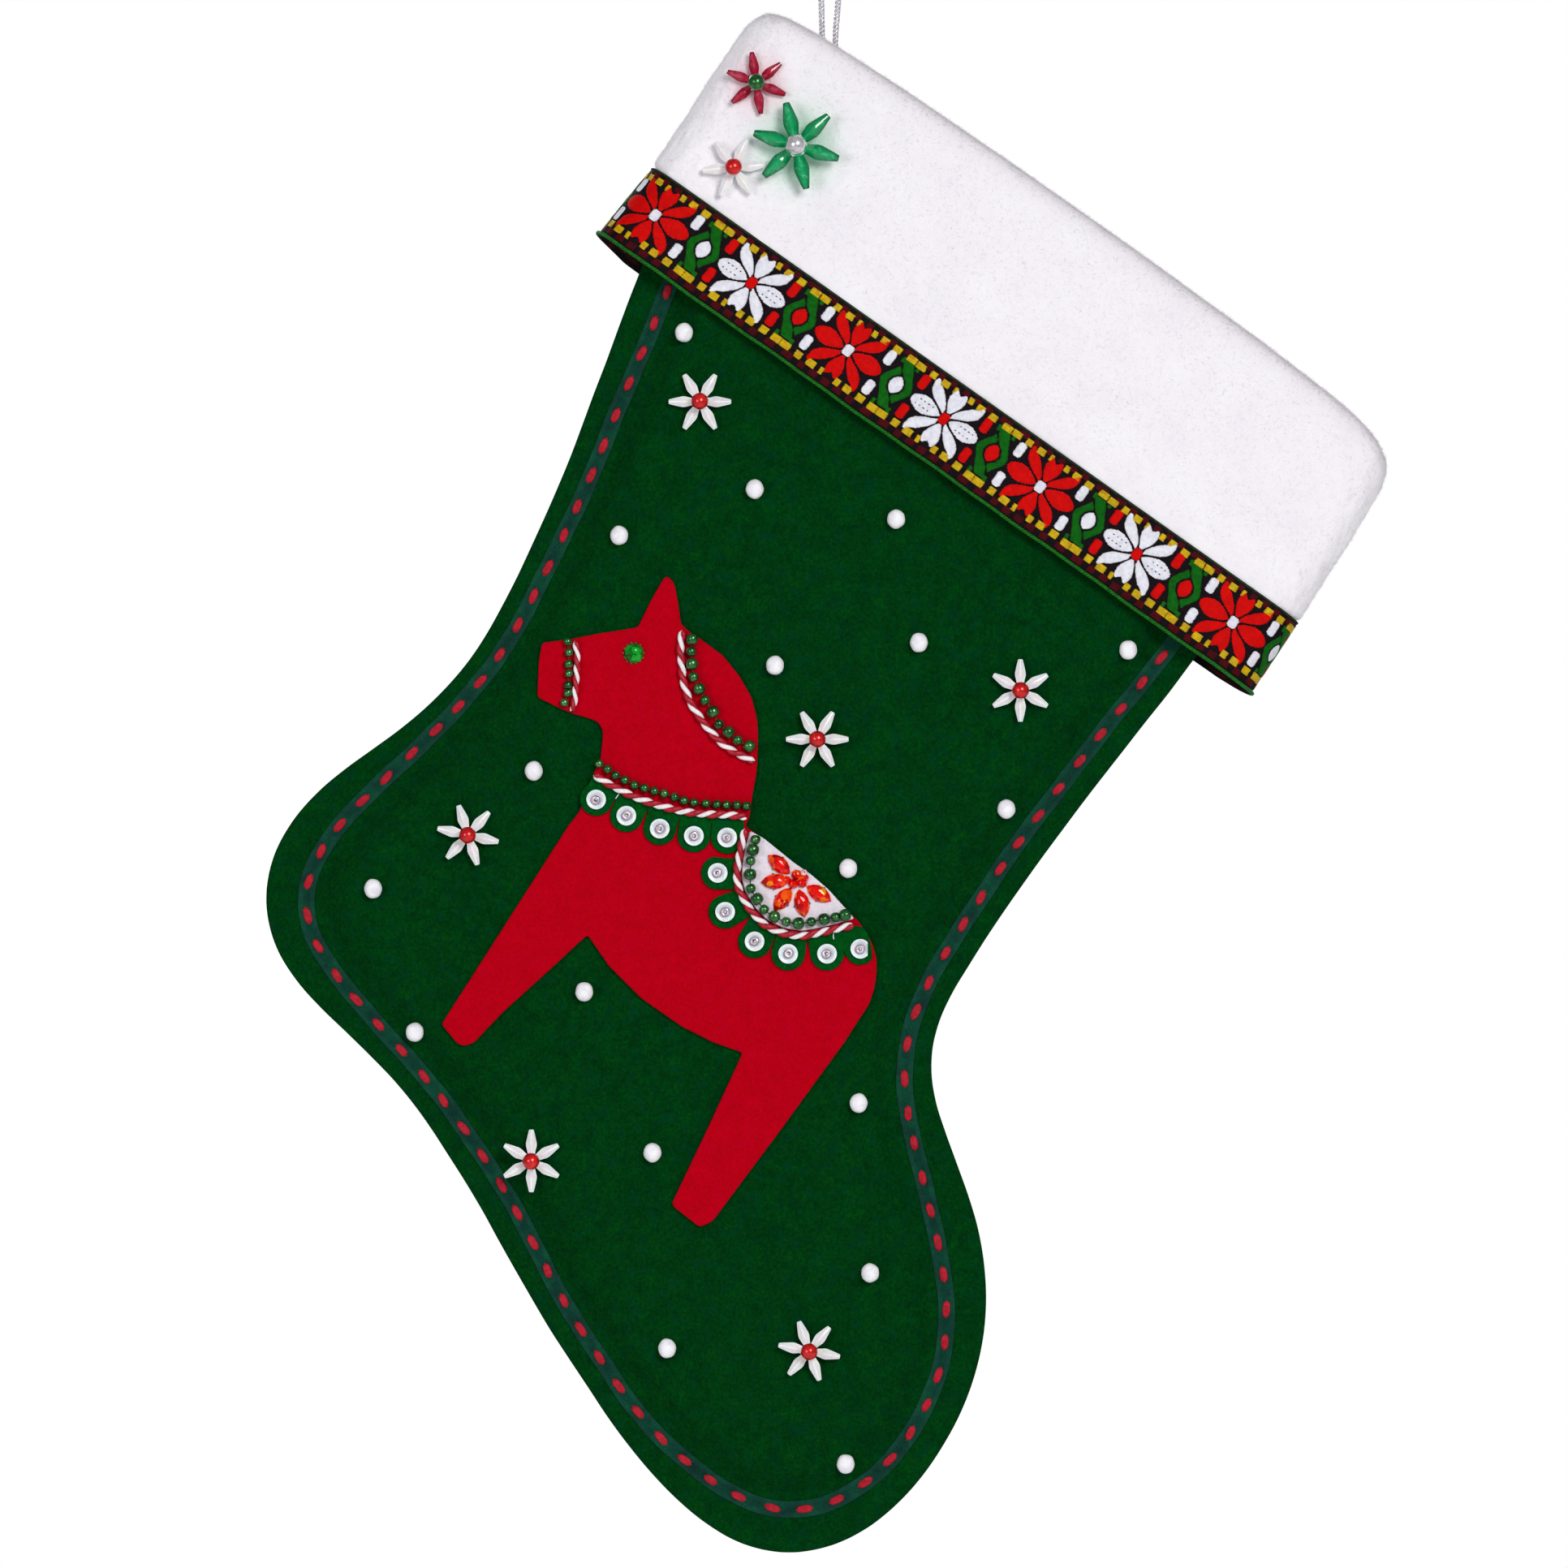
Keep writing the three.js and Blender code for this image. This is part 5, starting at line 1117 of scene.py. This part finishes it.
def one_group(acc, A, extra):
    ang = np.array([0, 0.22, 0.5, 0.78, 1.0]) * np.pi
    end = np.minimum(0.45 / np.maximum(A[:, 1] - A[:, 0], 0.5), 0.3)
    inner = [end + (1 - 2 * end) * k / (extra + 1) for k in range(1, extra + 1)]
    T = np.stack([0 * end, end * 0.4, end] + inner + [1 - end, 1 - end * 0.4, 1 + 0 * end], 1)
    size = np.array([0.3, 0.8, 1.0] + [1.0] * extra + [1.0, 0.8, 0.3])
    n, m = T.shape
    p = A[:, 0, None] + (A[:, 1] - A[:, 0])[:, None] * T
    arch = A[:, 4, None] * (0.75 + 0.25 * np.minimum(A[:, 1] - A[:, 0], 5)[:, None] / 5)
    V_ = []
    for a in ang:
        vv = A[:, 2, None] + (A[:, 3, None] * 0.56) * np.cos(a) * size[None, :]
        ll = arch * size[None, :] * np.sin(a) + 0.02
        V_.append(band_point(p.ravel(), (vv + 0 * p).ravel(), (ll + 0 * p).ravel()).reshape(n, m, 3))
    V_.append(band_point(p.ravel(), (A[:, 2, None] + 0 * p).ravel(), np.full(n * m, -0.12)).reshape(n, m, 3))
    V_ = np.stack(V_, 2)
    s = V_.shape[2]
    base = np.arange(n)[:, None, None] * (m * s)
    i = np.arange(m - 1)[None, :, None]
    c = np.arange(s)[None, None, :]
    q = np.stack(np.broadcast_arrays(base + i * s + c, base + i * s + (c + 1) % s, base + (i + 1) * s + (c + 1) % s, base + (i + 1) * s + c), -1).reshape(-1, 4)
    caps = np.vstack([base[:, 0, :] + np.arange(s)[None, ::-1], base[:, 0, :] + (m - 1) * s + np.arange(s)[None, :]])
    acc.add(V_.reshape(-1, 3), [q, caps])


first = int(math.floor((JOIN - BAND_L - 8.85) / 34.48)) - 1
last = int(math.ceil((JOIN - 8.85) / 34.48)) + 1
for k in range(first, last + 1):
    cu, cv = 8.85 + 34.48 * k, -11.8 + jit.uniform(-0.2, 0.2)
    own, other = ("red", "white") if k % 2 == 0 else ("white", "red")
    for sx in (-1, 1):
        fill(own, [(sx * x, y) for x, y in SIDE], cu, cv, dots=(own == "white"))
        fill(own, [(x, sx * y) for x, y in TALL], cu, cv)
        for sy_ in (-1, 1):
            fill(own, [(sx * x, sy_ * y) for x, y in DIAG], cu, cv)
    fill(other, HEART, cu, cv, height=0.42)
    for du, dv in ((11.1, 5.4), (-11.1, 5.4), (11.2, -5.2), (-11.2, -5.2)):
        fill(other, BAR, cu + du, cv + dv, height=0.36)
    dc = cu + 17.24
    fill("green", LEAF, dc, cv - 0.1)
    fill("green", [(-x, -y) for x, y in LEAF], dc, cv - 0.1)
    fill(other, SEED_OVAL, dc, cv - 0.1, height=0.36)
    for sx in (-1, 1):
        fill("green", TICK, dc + sx * 2.6, cv + 7.3, height=0.22)
        fill("green", TICK, dc + sx * 2.6, cv - 7.6, height=0.22)
    for x0, x1 in YT:
        fill("yellow", [(x0, -2.15), (x1, -2.15), (x1, -4.15), (x0, -4.15)], cu, jit.uniform(-0.15, 0.15), height=0.26)
    for x0, x1 in YB:
        fill("yellow", [(x0, -20.0), (x1, -20.0), (x1, -22.2), (x0, -22.2)], cu, jit.uniform(-0.15, 0.15), height=0.26)
    for x0, x1 in CT:
        fill("crimson", [(x0, -1.2), (x1, -1.2), (x1, -2.8), (x0, -2.8)], cu, jit.uniform(-0.1, 0.1), height=0.2)
    for x0, x1 in CB:
        fill("crimson", [(x0, -22.1), (x1, -22.1), (x1, -24.1), (x0, -24.1)], cu, jit.uniform(-0.1, 0.1), height=0.2)
for c, m in (("red", M_T_RED), ("white", M_T_WHITE), ("green", M_T_GREEN), ("yellow", M_T_YELLOW), ("crimson", M_T_CRIMSON)):
    put(strands(threads[c]).mesh("band_thread_" + c, [m]))


def band_edge(name, v, lift, r_strand, r_helix, lead, mat, n_strands=2):
    n = int(BAND_L / 0.3)
    p = JOIN - BAND_L + 0.5 + np.arange(n) * ((BAND_L - 1.0) / n)
    P = band_point(p, np.full(n, v), lift)
    acc = Acc()
    up = band_point(p, np.full(n, v), lift + 1.0) - P
    twist(acc, P, lead, 1, n_strands, r_strand, r_helix, sides=8, up=up, lobes=3, mats=(0,))
    put(acc.mesh(name, [mat]))


band_edge("band_edge_bottom", -25.1, 0.42, 0.34, 0.26, 1.9, M_EDGE_CORD)
band_edge("band_edge_top", -0.6, -0.08, 0.26, 0.14, 1.2, M_EDGE_DARK)

# where the two ends of the band meet at the back: a row of overcast stitches
acc = Acc()
for v_ in np.arange(-24.6, -0.8, 1.15):
    pp_ = JOIN + np.linspace(-0.75, 0.75, 7)
    P = band_point(pp_, v_ + np.linspace(-0.3, 0.3, 7), 0.0) - np.array([0, 0, 0])
    Q = band_point(pp_, v_ + np.linspace(-0.3, 0.3, 7), 0.42)
    w_ = np.sqrt(np.maximum(1 - np.linspace(-1, 1, 7) ** 2, 0))[:, None]
    vv_, ff_ = tube(P + (Q - P) * w_, 0.15, 6, up=(0, 1, 0))
    acc.add(vv_, ff_)
put(acc.mesh("band_join_stitches", [M_EDGE_DARK]))

# ------------------------------------------------------------------ horse and its felt pieces
Y_HORSE = -(PLATEAU + 0.04)
HORSE_T = 1.3
Y_TRIM = Y_HORSE - HORSE_T
TRIM_T = 1.05
Y_TOP = Y_TRIM - TRIM_T


def soften(P, r=0.5, n=3):
    """cut corners slightly, as scissors leave them"""
    P = np.asarray(P, float)
    out = []
    for i in range(len(P)):
        a, b, c = P[i - 1], P[i], P[(i + 1) % len(P)]
        la, lc = np.linalg.norm(a - b), np.linalg.norm(c - b)
        ra, rc = min(r, la * 0.4), min(r, lc * 0.4)
        s, e = b + (a - b) / la * ra, b + (c - b) / lc * rc
        for t in np.linspace(0, 1, n):
            out.append((1 - t) ** 2 * s + 2 * t * (1 - t) * b + t * t * e)
    return np.array(out)


def applique(name, outline, y_back, thick, mat, edge_mat, node, spacing=2.4, curl=0.0, seed=1, step=0.9, body="stocking"):
    ring = resample(outline, step, True)
    P, F, e = flat_cut(ring, [0.1, 0.28, 0.6, 1.2], spacing)
    dr = drape(P[:, 0], P[:, 1])
    low = 0.04 * ripple(P[:, 0], P[:, 1], 5.0, seed, 12)
    lift = curl * np.exp(-e / 2.2)
    front = y_back - thick + edge_drop(e, 0.42) + dr + low - lift
    back = np.full(len(P), y_back) + dr - edge_drop(e, 0.15) - lift * 0.8
    acc = Acc()
    add_cloth(acc, P, F, front, back, edge_mat=1)
    o = put(acc.mesh(name, [mat, edge_mat]), nodes=[node], body=body)
    return o


horse_outline = soften(HORSE, 0.7, 3)
applique("horse_felt", horse_outline, Y_HORSE, HORSE_T, M_RED, M_EDGE_RED, "horse_body", 2.6, 0.05, 3)


def tabs(centres, r, start, end, rise, side=1.0):
    """outline below a row of round tabs with V notches between them"""
    C = np.array(centres, float)
    out = []
    for i, c in enumerate(C):
        def touch(apex, sgn):
            d = apex - c
            D = np.linalg.norm(d)
            a = math.atan2(d[1], d[0])
            return a + sgn * math.acos(min(1.0, r / D))
        if i == 0:
            a0 = start
        else:
            m = (C[i - 1] + c) / 2
            t = (c - C[i - 1]) / np.linalg.norm(c - C[i - 1])
            ap = m + np.array([-t[1], t[0]]) * rise
            a0 = touch(ap, 1)
        if i == len(C) - 1:
            a1 = end
        else:
            m = (C[i + 1] + c) / 2
            t = (C[i + 1] - c) / np.linalg.norm(C[i + 1] - c)
            ap2 = m + np.array([-t[1], t[0]]) * rise
            a1 = touch(ap2, -1)
        while a1 < a0:
            a1 += TAU
        for a in np.linspace(a0, a1, 15):
            out.append(c + r * np.array([math.cos(a), math.sin(a)]))
        if i < len(C) - 1:
            t = (C[i + 1] - c) / np.linalg.norm(C[i + 1] - c)
            out.append(ap2 - t * 0.07)
            out.append(ap2 + t * 0.07)
    return out


collar = np.array(tabs(COLLAR_SEQUINS, 4.85, 2.1, -0.1, 4.2) + [np.array(p) for p in ([-25.0, -311.2], [-24.29, -309.4])] + [np.array(p) for p in COLLAR_CORD[:-1][::-1]])
applique("collar_felt", collar, Y_TRIM, TRIM_T, M_GREEN_TRIM, M_EDGE_GREEN, "horse_collar", 1.8, 0.06, 4, 0.55)
sk = tabs(SKIRT_SEQUINS[:5], 4.95, 1.9, -0.25, 4.3)
skirt = np.array(sk + [np.array(p) for p in ([4.6, -350.9], [3.9, -349.0], [4.9, -350.9], [6.4, -352.9], [8.6, -353.6], [11.3, -353.0], [12.6, -351.6], [12.3, -348.0], [11.2, -344.4], [9.8, -342.4])] + [np.array(p) - 0.15 for p in SADDLE_CORD[2:][::-1]] + [np.array(p) for p in ([-27.4, -322.2], [-28.9, -322.3])])
applique("skirt_felt", skirt, Y_TRIM, TRIM_T, M_GREEN_TRIM, M_EDGE_GREEN, "saddle_skirt", 1.8, 0.06, 5, 0.55)
pad = np.array([[-23.3, -314.2], [-24.7, -319.0], [-25.6, -324.4], [-25.8, -328.1], [-24.8, -332.0], [-22.1, -336.5], [-18.5, -340.2], [-13.7, -342.7], [-8.1, -343.6], [-3.3, -342.8], [2.2, -341.5], [7.3, -340.0], [5.4, -337.7], [-0.4, -331.3], [-5.4, -327.0], [-10.6, -323.4], [-19.1, -316.5]])
applique("pad_felt", soften(pad, 0.4, 3), Y_TRIM, TRIM_T, M_WHITE, M_EDGE_WHITE, "saddle_pad", 1.8, 0.04, 6, 0.6)

# ------------------------------------------------------------------ cords on the horse
for name, pts, y, node, r_h in (("halter_cord_twist", HALTER_CORD, Y_TRIM, "halter_cord", 0.42), ("mane_cord_twist", MANE_CORD, Y_TRIM, "mane_cord", 0.48), ("collar_cord_twist", COLLAR_CORD, Y_TOP, "collar_cord", 0.48), ("saddle_cord_twist", SADDLE_CORD, Y_TOP, "saddle_cord", 0.48)):
    c = crom(pts, 0.3)
    acc = Acc()
    small = 0.85 if node == "halter_cord" else 1.0
    twist(acc, with_y(c, y - 1.12 * small), 7.0 if node == "mane_cord" else 6.4, 1, 2, [0.82 * small, 0.68 * small], r_h, sides=14, lobes=7, mats=(0, 1), depth=0.06)
    put(acc.mesh(name, [M_CORD_RED, M_CORD_WHITE]), nodes=[node])
    total = float(np.linalg.norm(np.diff(c, axis=0), axis=1).sum())

# two small thread ends caught under the cords
acc = Acc()
for pts in ([[-61.5, -302.9], [-62.0, -303.8], [-62.7, -304.8]], [[1.2, -344.3], [1.1, -345.2], [1.3, -346.0]]):
    v, f = tube(with_y(crom(pts, 0.3), Y_TOP - 0.12), 0.17, 6)
    acc.add(v, f)
put(acc.mesh("thread_ends", [M_SEW_WHITE]))

# ------------------------------------------------------------------ bead strings
BEAD = [(0.24, -0.86), (0.42, -0.93), (0.66, -0.84), (0.86, -0.62), (0.97, -0.32), (1.0, 0.0), (0.97, 0.32), (0.86, 0.62), (0.66, 0.84), (0.42, 0.93), (0.24, 0.86), (0.22, 0.4), (0.22, -0.4)]


def bead_string(name, pts, y, radii, node):
    P = with_y(pts, y)
    acc = Acc()
    T = np.gradient(P, axis=0)
    r2 = np.random.default_rng(len(pts))
    for c, t, r_ in zip(P, T, radii):
        ax = t / np.linalg.norm(t) + r2.normal(0, 0.06, 3)
        jitter = r2.uniform(0.96, 1.04)
        v, f = lathe([(a * r_ * jitter, b * r_ * 0.95) for a, b in BEAD], 18, c + r2.normal(0, 0.05, 3) * (1, 0.3, 1), ax)
        acc.add(v, f)
    tp = crom(P, 0.5)
    v, f = tube(tp, 0.2, 6)
    acc.add(v, f, 1)
    for c in P[1::2]:
        q = np.array([c + (0, 0.0, 0), c + (0, 0.5, 0), c + (0, 1.2, 0)])
        v, f = tube(q, 0.15, 6, up=(1, 0, 0))
        acc.add(v, f, 1)
    put(acc.mesh(name, [M_PEARL_GREEN, M_SEW_GREEN]), nodes=[node])


alt = lambda n, a, b: [a if i % 2 == 0 else b for i in range(n)]
bead_string("halter_bead_string", HALTER_BEADS, Y_TRIM - 1.2, [1.3] * len(HALTER_BEADS), "halter_beads")
bead_string("mane_bead_string", MANE_BEADS, Y_TRIM - 1.55, alt(len(MANE_BEADS), 1.85, 1.5), "mane_beads")
bead_string("collar_bead_string", COLLAR_BEADS, Y_TRIM - 1.2, [1.36] * len(COLLAR_BEADS), "collar_beads")
bead_string("saddle_bead_string", SADDLE_BEADS, Y_TOP - 1.5, alt(len(SADDLE_BEADS), 1.45, 1.85), "saddle_beads")

# ------------------------------------------------------------------ cup sequins with a seed bead
SEQ = [(0.55, -0.02), (1.2, 0.03), (1.5, 0.1), (1.75, 0.28), (2.55, 0.62), (2.82, 0.66), (2.9, 0.6), (2.84, 0.52), (2.55, 0.46), (1.8, 0.12), (1.45, -0.08), (0.55, -0.16)]


def sequins(name, centres, y, node):
    acc = Acc()
    r2 = np.random.default_rng(len(centres) + 3)
    for i, (x, z) in enumerate(centres):
        yc = y + float(drape(np.array([x]), np.array([z]))[0])
        ax = np.array([r2.normal(0, 0.05), -1, r2.normal(0, 0.05)])
        v, f = lathe(SEQ, 36, (x, yc - 0.2, z), ax)
        if node == "skirt_sequins" and i == len(centres) - 1:
            v[:, 0] = np.minimum(v[:, 0], 11.2)
        acc.add(v, f, 0, attr=np.zeros((len(v), 3)))
        turns = np.linspace(0, TAU, 13)[:-1]
        ring = [(0.92 + 0.52 * math.cos(a), 0.8 + 0.6 * math.sin(a)) for a in turns]
        v, f = lathe(ring, 22, (x, yc - 0.15, z), ax + r2.normal(0, 0.08, 3))
        # painted shade weights for the seed bead: its outer side and the lip of its hole
        shade = np.repeat(smooth01((np.cos(turns) - 0.35) / 0.5) * 0.9 + 0.55 * smooth01((-np.cos(turns) - 0.7) / 0.3), 22)
        acc.add(v, f, 1, attr=np.stack([shade] * 3, 1))
        q = np.array([(x, yc - 0.3, z), (x, yc - 0.9, z), (x, yc - 1.25, z), (x + 0.1, yc - 1.42, z + 0.1)])
        v, f = tube(q, np.array([0.3, 0.34, 0.34, 0.16]), 8, up=(1, 0, 0))
        acc.add(v, f, 2, attr=np.zeros((len(v), 3)))
    put(acc.mesh(name, [M_SEQUIN, M_SEED, M_SEW_WHITE], attr_name="rim"), nodes=[node])


sequins("collar_cup_sequins", COLLAR_SEQUINS, Y_TOP, "collar_sequins")
sequins("skirt_cup_sequins", SKIRT_SEQUINS, Y_TOP, "skirt_sequins")


# ------------------------------------------------------------------ cut stones
def cut_stone(acc, half_l, half_w, height, centre, turn, n=8, mat=0, round_=False):
    if round_:
        a = TAU * np.arange(n * 2) / (n * 2)
        ring = np.stack([np.cos(a) * half_l, np.sin(a) * half_l], 1)
    else:
        R = (half_l**2 + half_w**2) / (2 * half_w)
        t = np.linspace(-1, 1, n)
        w = np.sqrt(np.maximum(R**2 - (half_l * t) ** 2, 0)) - (R - half_w)
        top = np.stack([half_l * t, w], 1)
        low = np.stack([half_l * t[::-1][1:-1], -w[::-1][1:-1]], 1)
        ring = np.vstack([top, low])
    m = len(ring)
    levels = [(0.86, 0.0), (1.0, 0.16), (1.0, 0.3), (0.8, 0.68), (0.5, 0.95), (0.3, 1.0)]
    ct, sn = math.cos(turn), math.sin(turn)
    v = []
    for li, (k, h) in enumerate(levels):
        q = ring * k
        if li == 3:
            q = (np.roll(ring, -1, axis=0) + ring) / 2 * k
        if li == 4:
            q = ring * k
        x = centre[0] + q[:, 0] * ct - q[:, 1] * sn
        z = centre[2] + q[:, 0] * sn + q[:, 1] * ct
        v.append(np.stack([x, np.full(m, centre[1] - h * height), z], 1))
    Vx = np.vstack(v)
    k = np.arange(m)
    quads, tris = [], []
    for i in range(len(levels) - 1):
        a, b = i * m + k, i * m + (k + 1) % m
        c, d = (i + 1) * m + k, (i + 1) * m + (k + 1) % m
        if i == 2:  # kite facets up to the shifted ring
            tris += [np.stack([a, b, c], 1), np.stack([b, d, c], 1)]
        elif i == 3:
            tris += [np.stack([a, b, d], 1), np.stack([a, d, c], 1)]
        else:
            quads.append(np.stack([a, b, d, c], 1))
    acc.add(Vx, [np.vstack(quads), np.vstack(tris), np.array([k[::-1], (len(levels) - 1) * m + k])], mat)


fc = FLOWER_C
yd = float(drape(np.array([fc[0]]), np.array([fc[1]]))[0])
acc = Acc()
for x, z in PETALS:
    cut_stone(acc, 4.25, 2.25, 2.1, (x, Y_TOP - 0.05 + yd, z), math.atan2(z - fc[1], x - fc[0]), 7)
for x, z, r_ in ((-9.7, -327.1, 1.6), (-10.6, -329.8, 1.5), (-8.0, -329.5, 1.5), (-12.5, -328.6, 1.3), (-7.2, -328.0, 1.2)):
    cut_stone(acc, r_, r_, 2.0 if r_ > 1.0 else 2.6, (x, Y_TOP + 0.1 + yd, z), 0.2, 4, 0, True)
v, f = lathe([(a * 1.0, b * 0.9) for a, b in BEAD], 18, (-7.5, Y_TOP - 0.9 + yd, -326.45), (0.3, -1, 0.2))
acc.add(v, f, 2)
for x, z in PETALS:  # metal claws between the stones
    a = math.atan2(z - fc[1], x - fc[0])
    for s_ in (-1, 1):
        cx, cz = x + 2.4 * math.cos(a) * 0.2 - s_ * 2.2 * math.sin(a), z + 2.4 * math.sin(a) * 0.2 + s_ * 2.2 * math.cos(a)
        v, f = lathe([(0, 0.9), (0.28, 0.7), (0.34, 0.3), (0.3, 0.0), (0, 0.0)], 8, (cx, Y_TOP - 0.05 + yd, cz), closed=False)
        acc.add(v, f, 1)
put(acc.mesh("saddle_gem_flower", [M_GEM_ORANGE, M_GEM_SETTING, M_BEAD_PINK], smooth=False), nodes=["saddle_flower"])
acc = Acc()
ye = float(drape(np.array([EYE[0]]), np.array([EYE[1]]))[0])
cut_stone(acc, 2.95, 2.95, 1.9, (EYE[0], Y_TRIM - 0.1 + ye, EYE[1]), 0.1, 6, 0, True)
for a in np.linspace(0, TAU, 15)[:-1]:
    v, f = lathe([(0, 0.85), (0.2, 0.75), (0.3, 0.4), (0.26, 0.0), (0, 0.0)], 8, (EYE[0] + 3.1 * math.cos(a + 0.06 * math.sin(7 * a)), Y_TRIM - 0.0 + ye, EYE[1] + 3.1 * math.sin(a)), closed=False)
    acc.add(v, f, 1)
put(acc.mesh("eye_stone", [M_GEM_GREEN, M_GEM_SETTING], smooth=False), nodes=["horse_eye"])

# ------------------------------------------------------------------ snow beads
r3 = np.random.default_rng(21)
for i, (x, z) in enumerate(SNOW):
    y0 = float(on_front(x, z)[0])
    acc = Acc()
    th = np.linspace(-1.42, 1.42, 17)
    prof = [(0, math.sin(-1.5) * 2.6)] + [(2.62 * math.cos(t) ** 0.92, 2.55 * math.sin(t)) for t in th] + [(0, math.sin(1.5) * 2.6)]
    ax = np.array([r3.normal(0, 0.15), -0.35, 1.0])
    v, f = lathe(prof, 28, (0, 0, 0), ax, closed=False)
    v = v * np.array([1.0, 0.86, 1.1])
    lump = 1 + 0.012 * np.sin(v[:, 0] * 2.1 + i) + 0.012 * np.sin(v[:, 2] * 2.4 + 2 * i) + 0.008 * np.sin(v[:, 1] * 3.7)
    v = v * lump[:, None]
    c = np.array([x, y0 - 2.2, z])
    acc.add(v + c, f, 0)
    ring_y = y0 + 0.05
    a = TAU * np.arange(24) / 24
    P = np.stack([x + 1.2 * np.cos(a), np.full(24, ring_y - 0.05), z + 1.2 * np.sin(a)], 1)
    v, f = tube(P, 0.16, 6, closed=True)
    acc.add(v, f, 1)
    put(acc.mesh(f"snow_ball_{i + 1:02d}", [M_SNOW, M_SEW_WHITE]), nodes=[f"snow_bead_{i + 1:02d}"])

# ------------------------------------------------------------------ star beads and their pearls
for x, z, turn, reach, label in STARS:
    cuff = label.startswith("cuff")
    k = reach / 9.2
    lift = 2.3 if label == "cuff_3" else 0.0
    face = WALL_OUT if cuff else PLATEAU
    yc = -(face + 0.3 + 2.1 * k + lift)
    acc = Acc()
    slim = 1.5 / 1.62 if label == "cuff_2" else 1.0
    stations = [(1.25, 0.76), (1.7, 0.98), (2.3, 1.08), (3.3, 1.33), (4.4, 1.6), (5.2, 1.6), (7.4, 1.12), (8.75, 0.78), (9.12, 0.66), (9.2, 0.46)]
    # painted shade weights, read only by the clear stars' material: high near the arm roots and tips
    tip = np.array([0.3, 0.1, 0, 0, 0, 0, 0.0, 0.25, 0.8, 0.9])
    bev = math.radians(9)
    ang = np.concatenate([[a - bev, a + bev] for a in (0, math.pi / 2, math.pi, 1.5 * math.pi)])
    for i in range(6):
        a0 = math.radians(turn + 60 * i)
        d = np.array([math.cos(a0), 0, math.sin(a0)])
        n_ = np.array([-math.sin(a0), 0, math.cos(a0)])
        rows = []
        for t, w in stations:
            rows.append(np.array([x, yc, z]) + k * (d * t + w * slim * (np.cos(ang)[:, None] * n_ + np.sin(ang)[:, None] * np.array([0, 1.0, 0]) * 0.96)))
        m = len(ang)
        Vx = np.vstack(rows)
        ii = np.arange(len(rows) - 1)[:, None]
        kk = np.arange(m)[None, :]
        q = np.stack([ii * m + kk, ii * m + (kk + 1) % m, (ii + 1) * m + (kk + 1) % m, (ii + 1) * m + kk], -1).reshape(-1, 4)
        # plus painted shade along each arm's side silhouettes
        acc.add(Vx, [q, np.array([np.arange(m)[::-1], (len(rows) - 1) * m + np.arange(m)])], attr=np.clip(np.repeat(np.stack([tip, tip, tip], 1), m, axis=0) + np.tile(0.62 * np.abs(np.cos(ang)) ** 2, len(rows))[:, None], 0, 1))
    hub = [(1.15, -1.4), (1.5, -1.5), (2.0, -1.35), (2.3, -0.85), (2.38, 0), (2.3, 0.85), (2.0, 1.35), (1.5, 1.5), (1.15, 1.4)]
    v, f = lathe([(a * k if a > 1.2 else 1.12, b * k) for a, b in hub], 24, (x, yc, z))
    acc.add(v, f, attr=np.zeros((len(v), 3)))
    mat = {"cuff_2": M_CLEAR_RED, "cuff_3": M_CLEAR_GREEN}.get(label, M_STAR_WHITE)
    put(acc.mesh("star_bead_" + label, [mat], angle=12, attr_name="tip"), "turning_" + label, ["star_" + label])
    acc = Acc()
    pr = 2.9 if label == "cuff_3" else 2.5
    front = yc - 1.6 * k - 0.3
    pc = np.array([x, front - pr, z])
    th = np.linspace(-1.45, 1.45, 19)
    prof = [(pr * math.cos(t), pr * math.sin(t)) for t in th] + [(0.3, pr * 0.8), (0.3, -pr * 0.8)]
    ax = np.array([math.cos(math.radians(turn + 20)), -0.25, math.sin(math.radians(turn + 20))])
    v, f = lathe(prof, 30, pc, ax)
    acc.add(v, f, 0)
    axn = ax / np.linalg.norm(ax)
    back = np.array([x, -(face + 0.1), z])
    q = np.array([back, back + (0, yc + 0.5 - back[1], 0), (x, front + 0.2, z) + axn * (-0.8) * (1, 0, 1), pc - axn * (pr + 0.25), pc - axn * pr * 0.5, pc, pc + axn * pr * 0.5, pc + axn * (pr + 0.25), (x, front + 0.2, z) + axn * 0.8 * (1, 0, 1), back + (0.25, yc + 0.5 - back[1], 0.25), back + (0.25, 0, 0.25)])
    pp = crom(q, 0.2)
    v, f = tube(pp, 0.17, 6, up=(-axn[2], 0.13, axn[0]))
    acc.add(v, f, 1)
    mat = {"cuff_2": M_PEARL_GREEN, "cuff_3": M_PEARL_SILVER}.get(label, M_PEARL_RED)
    put(acc.mesh("pearl_bead_" + label, [mat, M_SEW_WHITE]), "stocking", ["pearl_" + label])

# ------------------------------------------------------------------ floor
bpy.ops.mesh.primitive_circle_add(vertices=96, radius=1.15, fill_type="NGON", location=(0, 0.1, -0.72))
floor = bpy.context.object
floor.name = "floor"
floor.data.materials.append(make_floor())
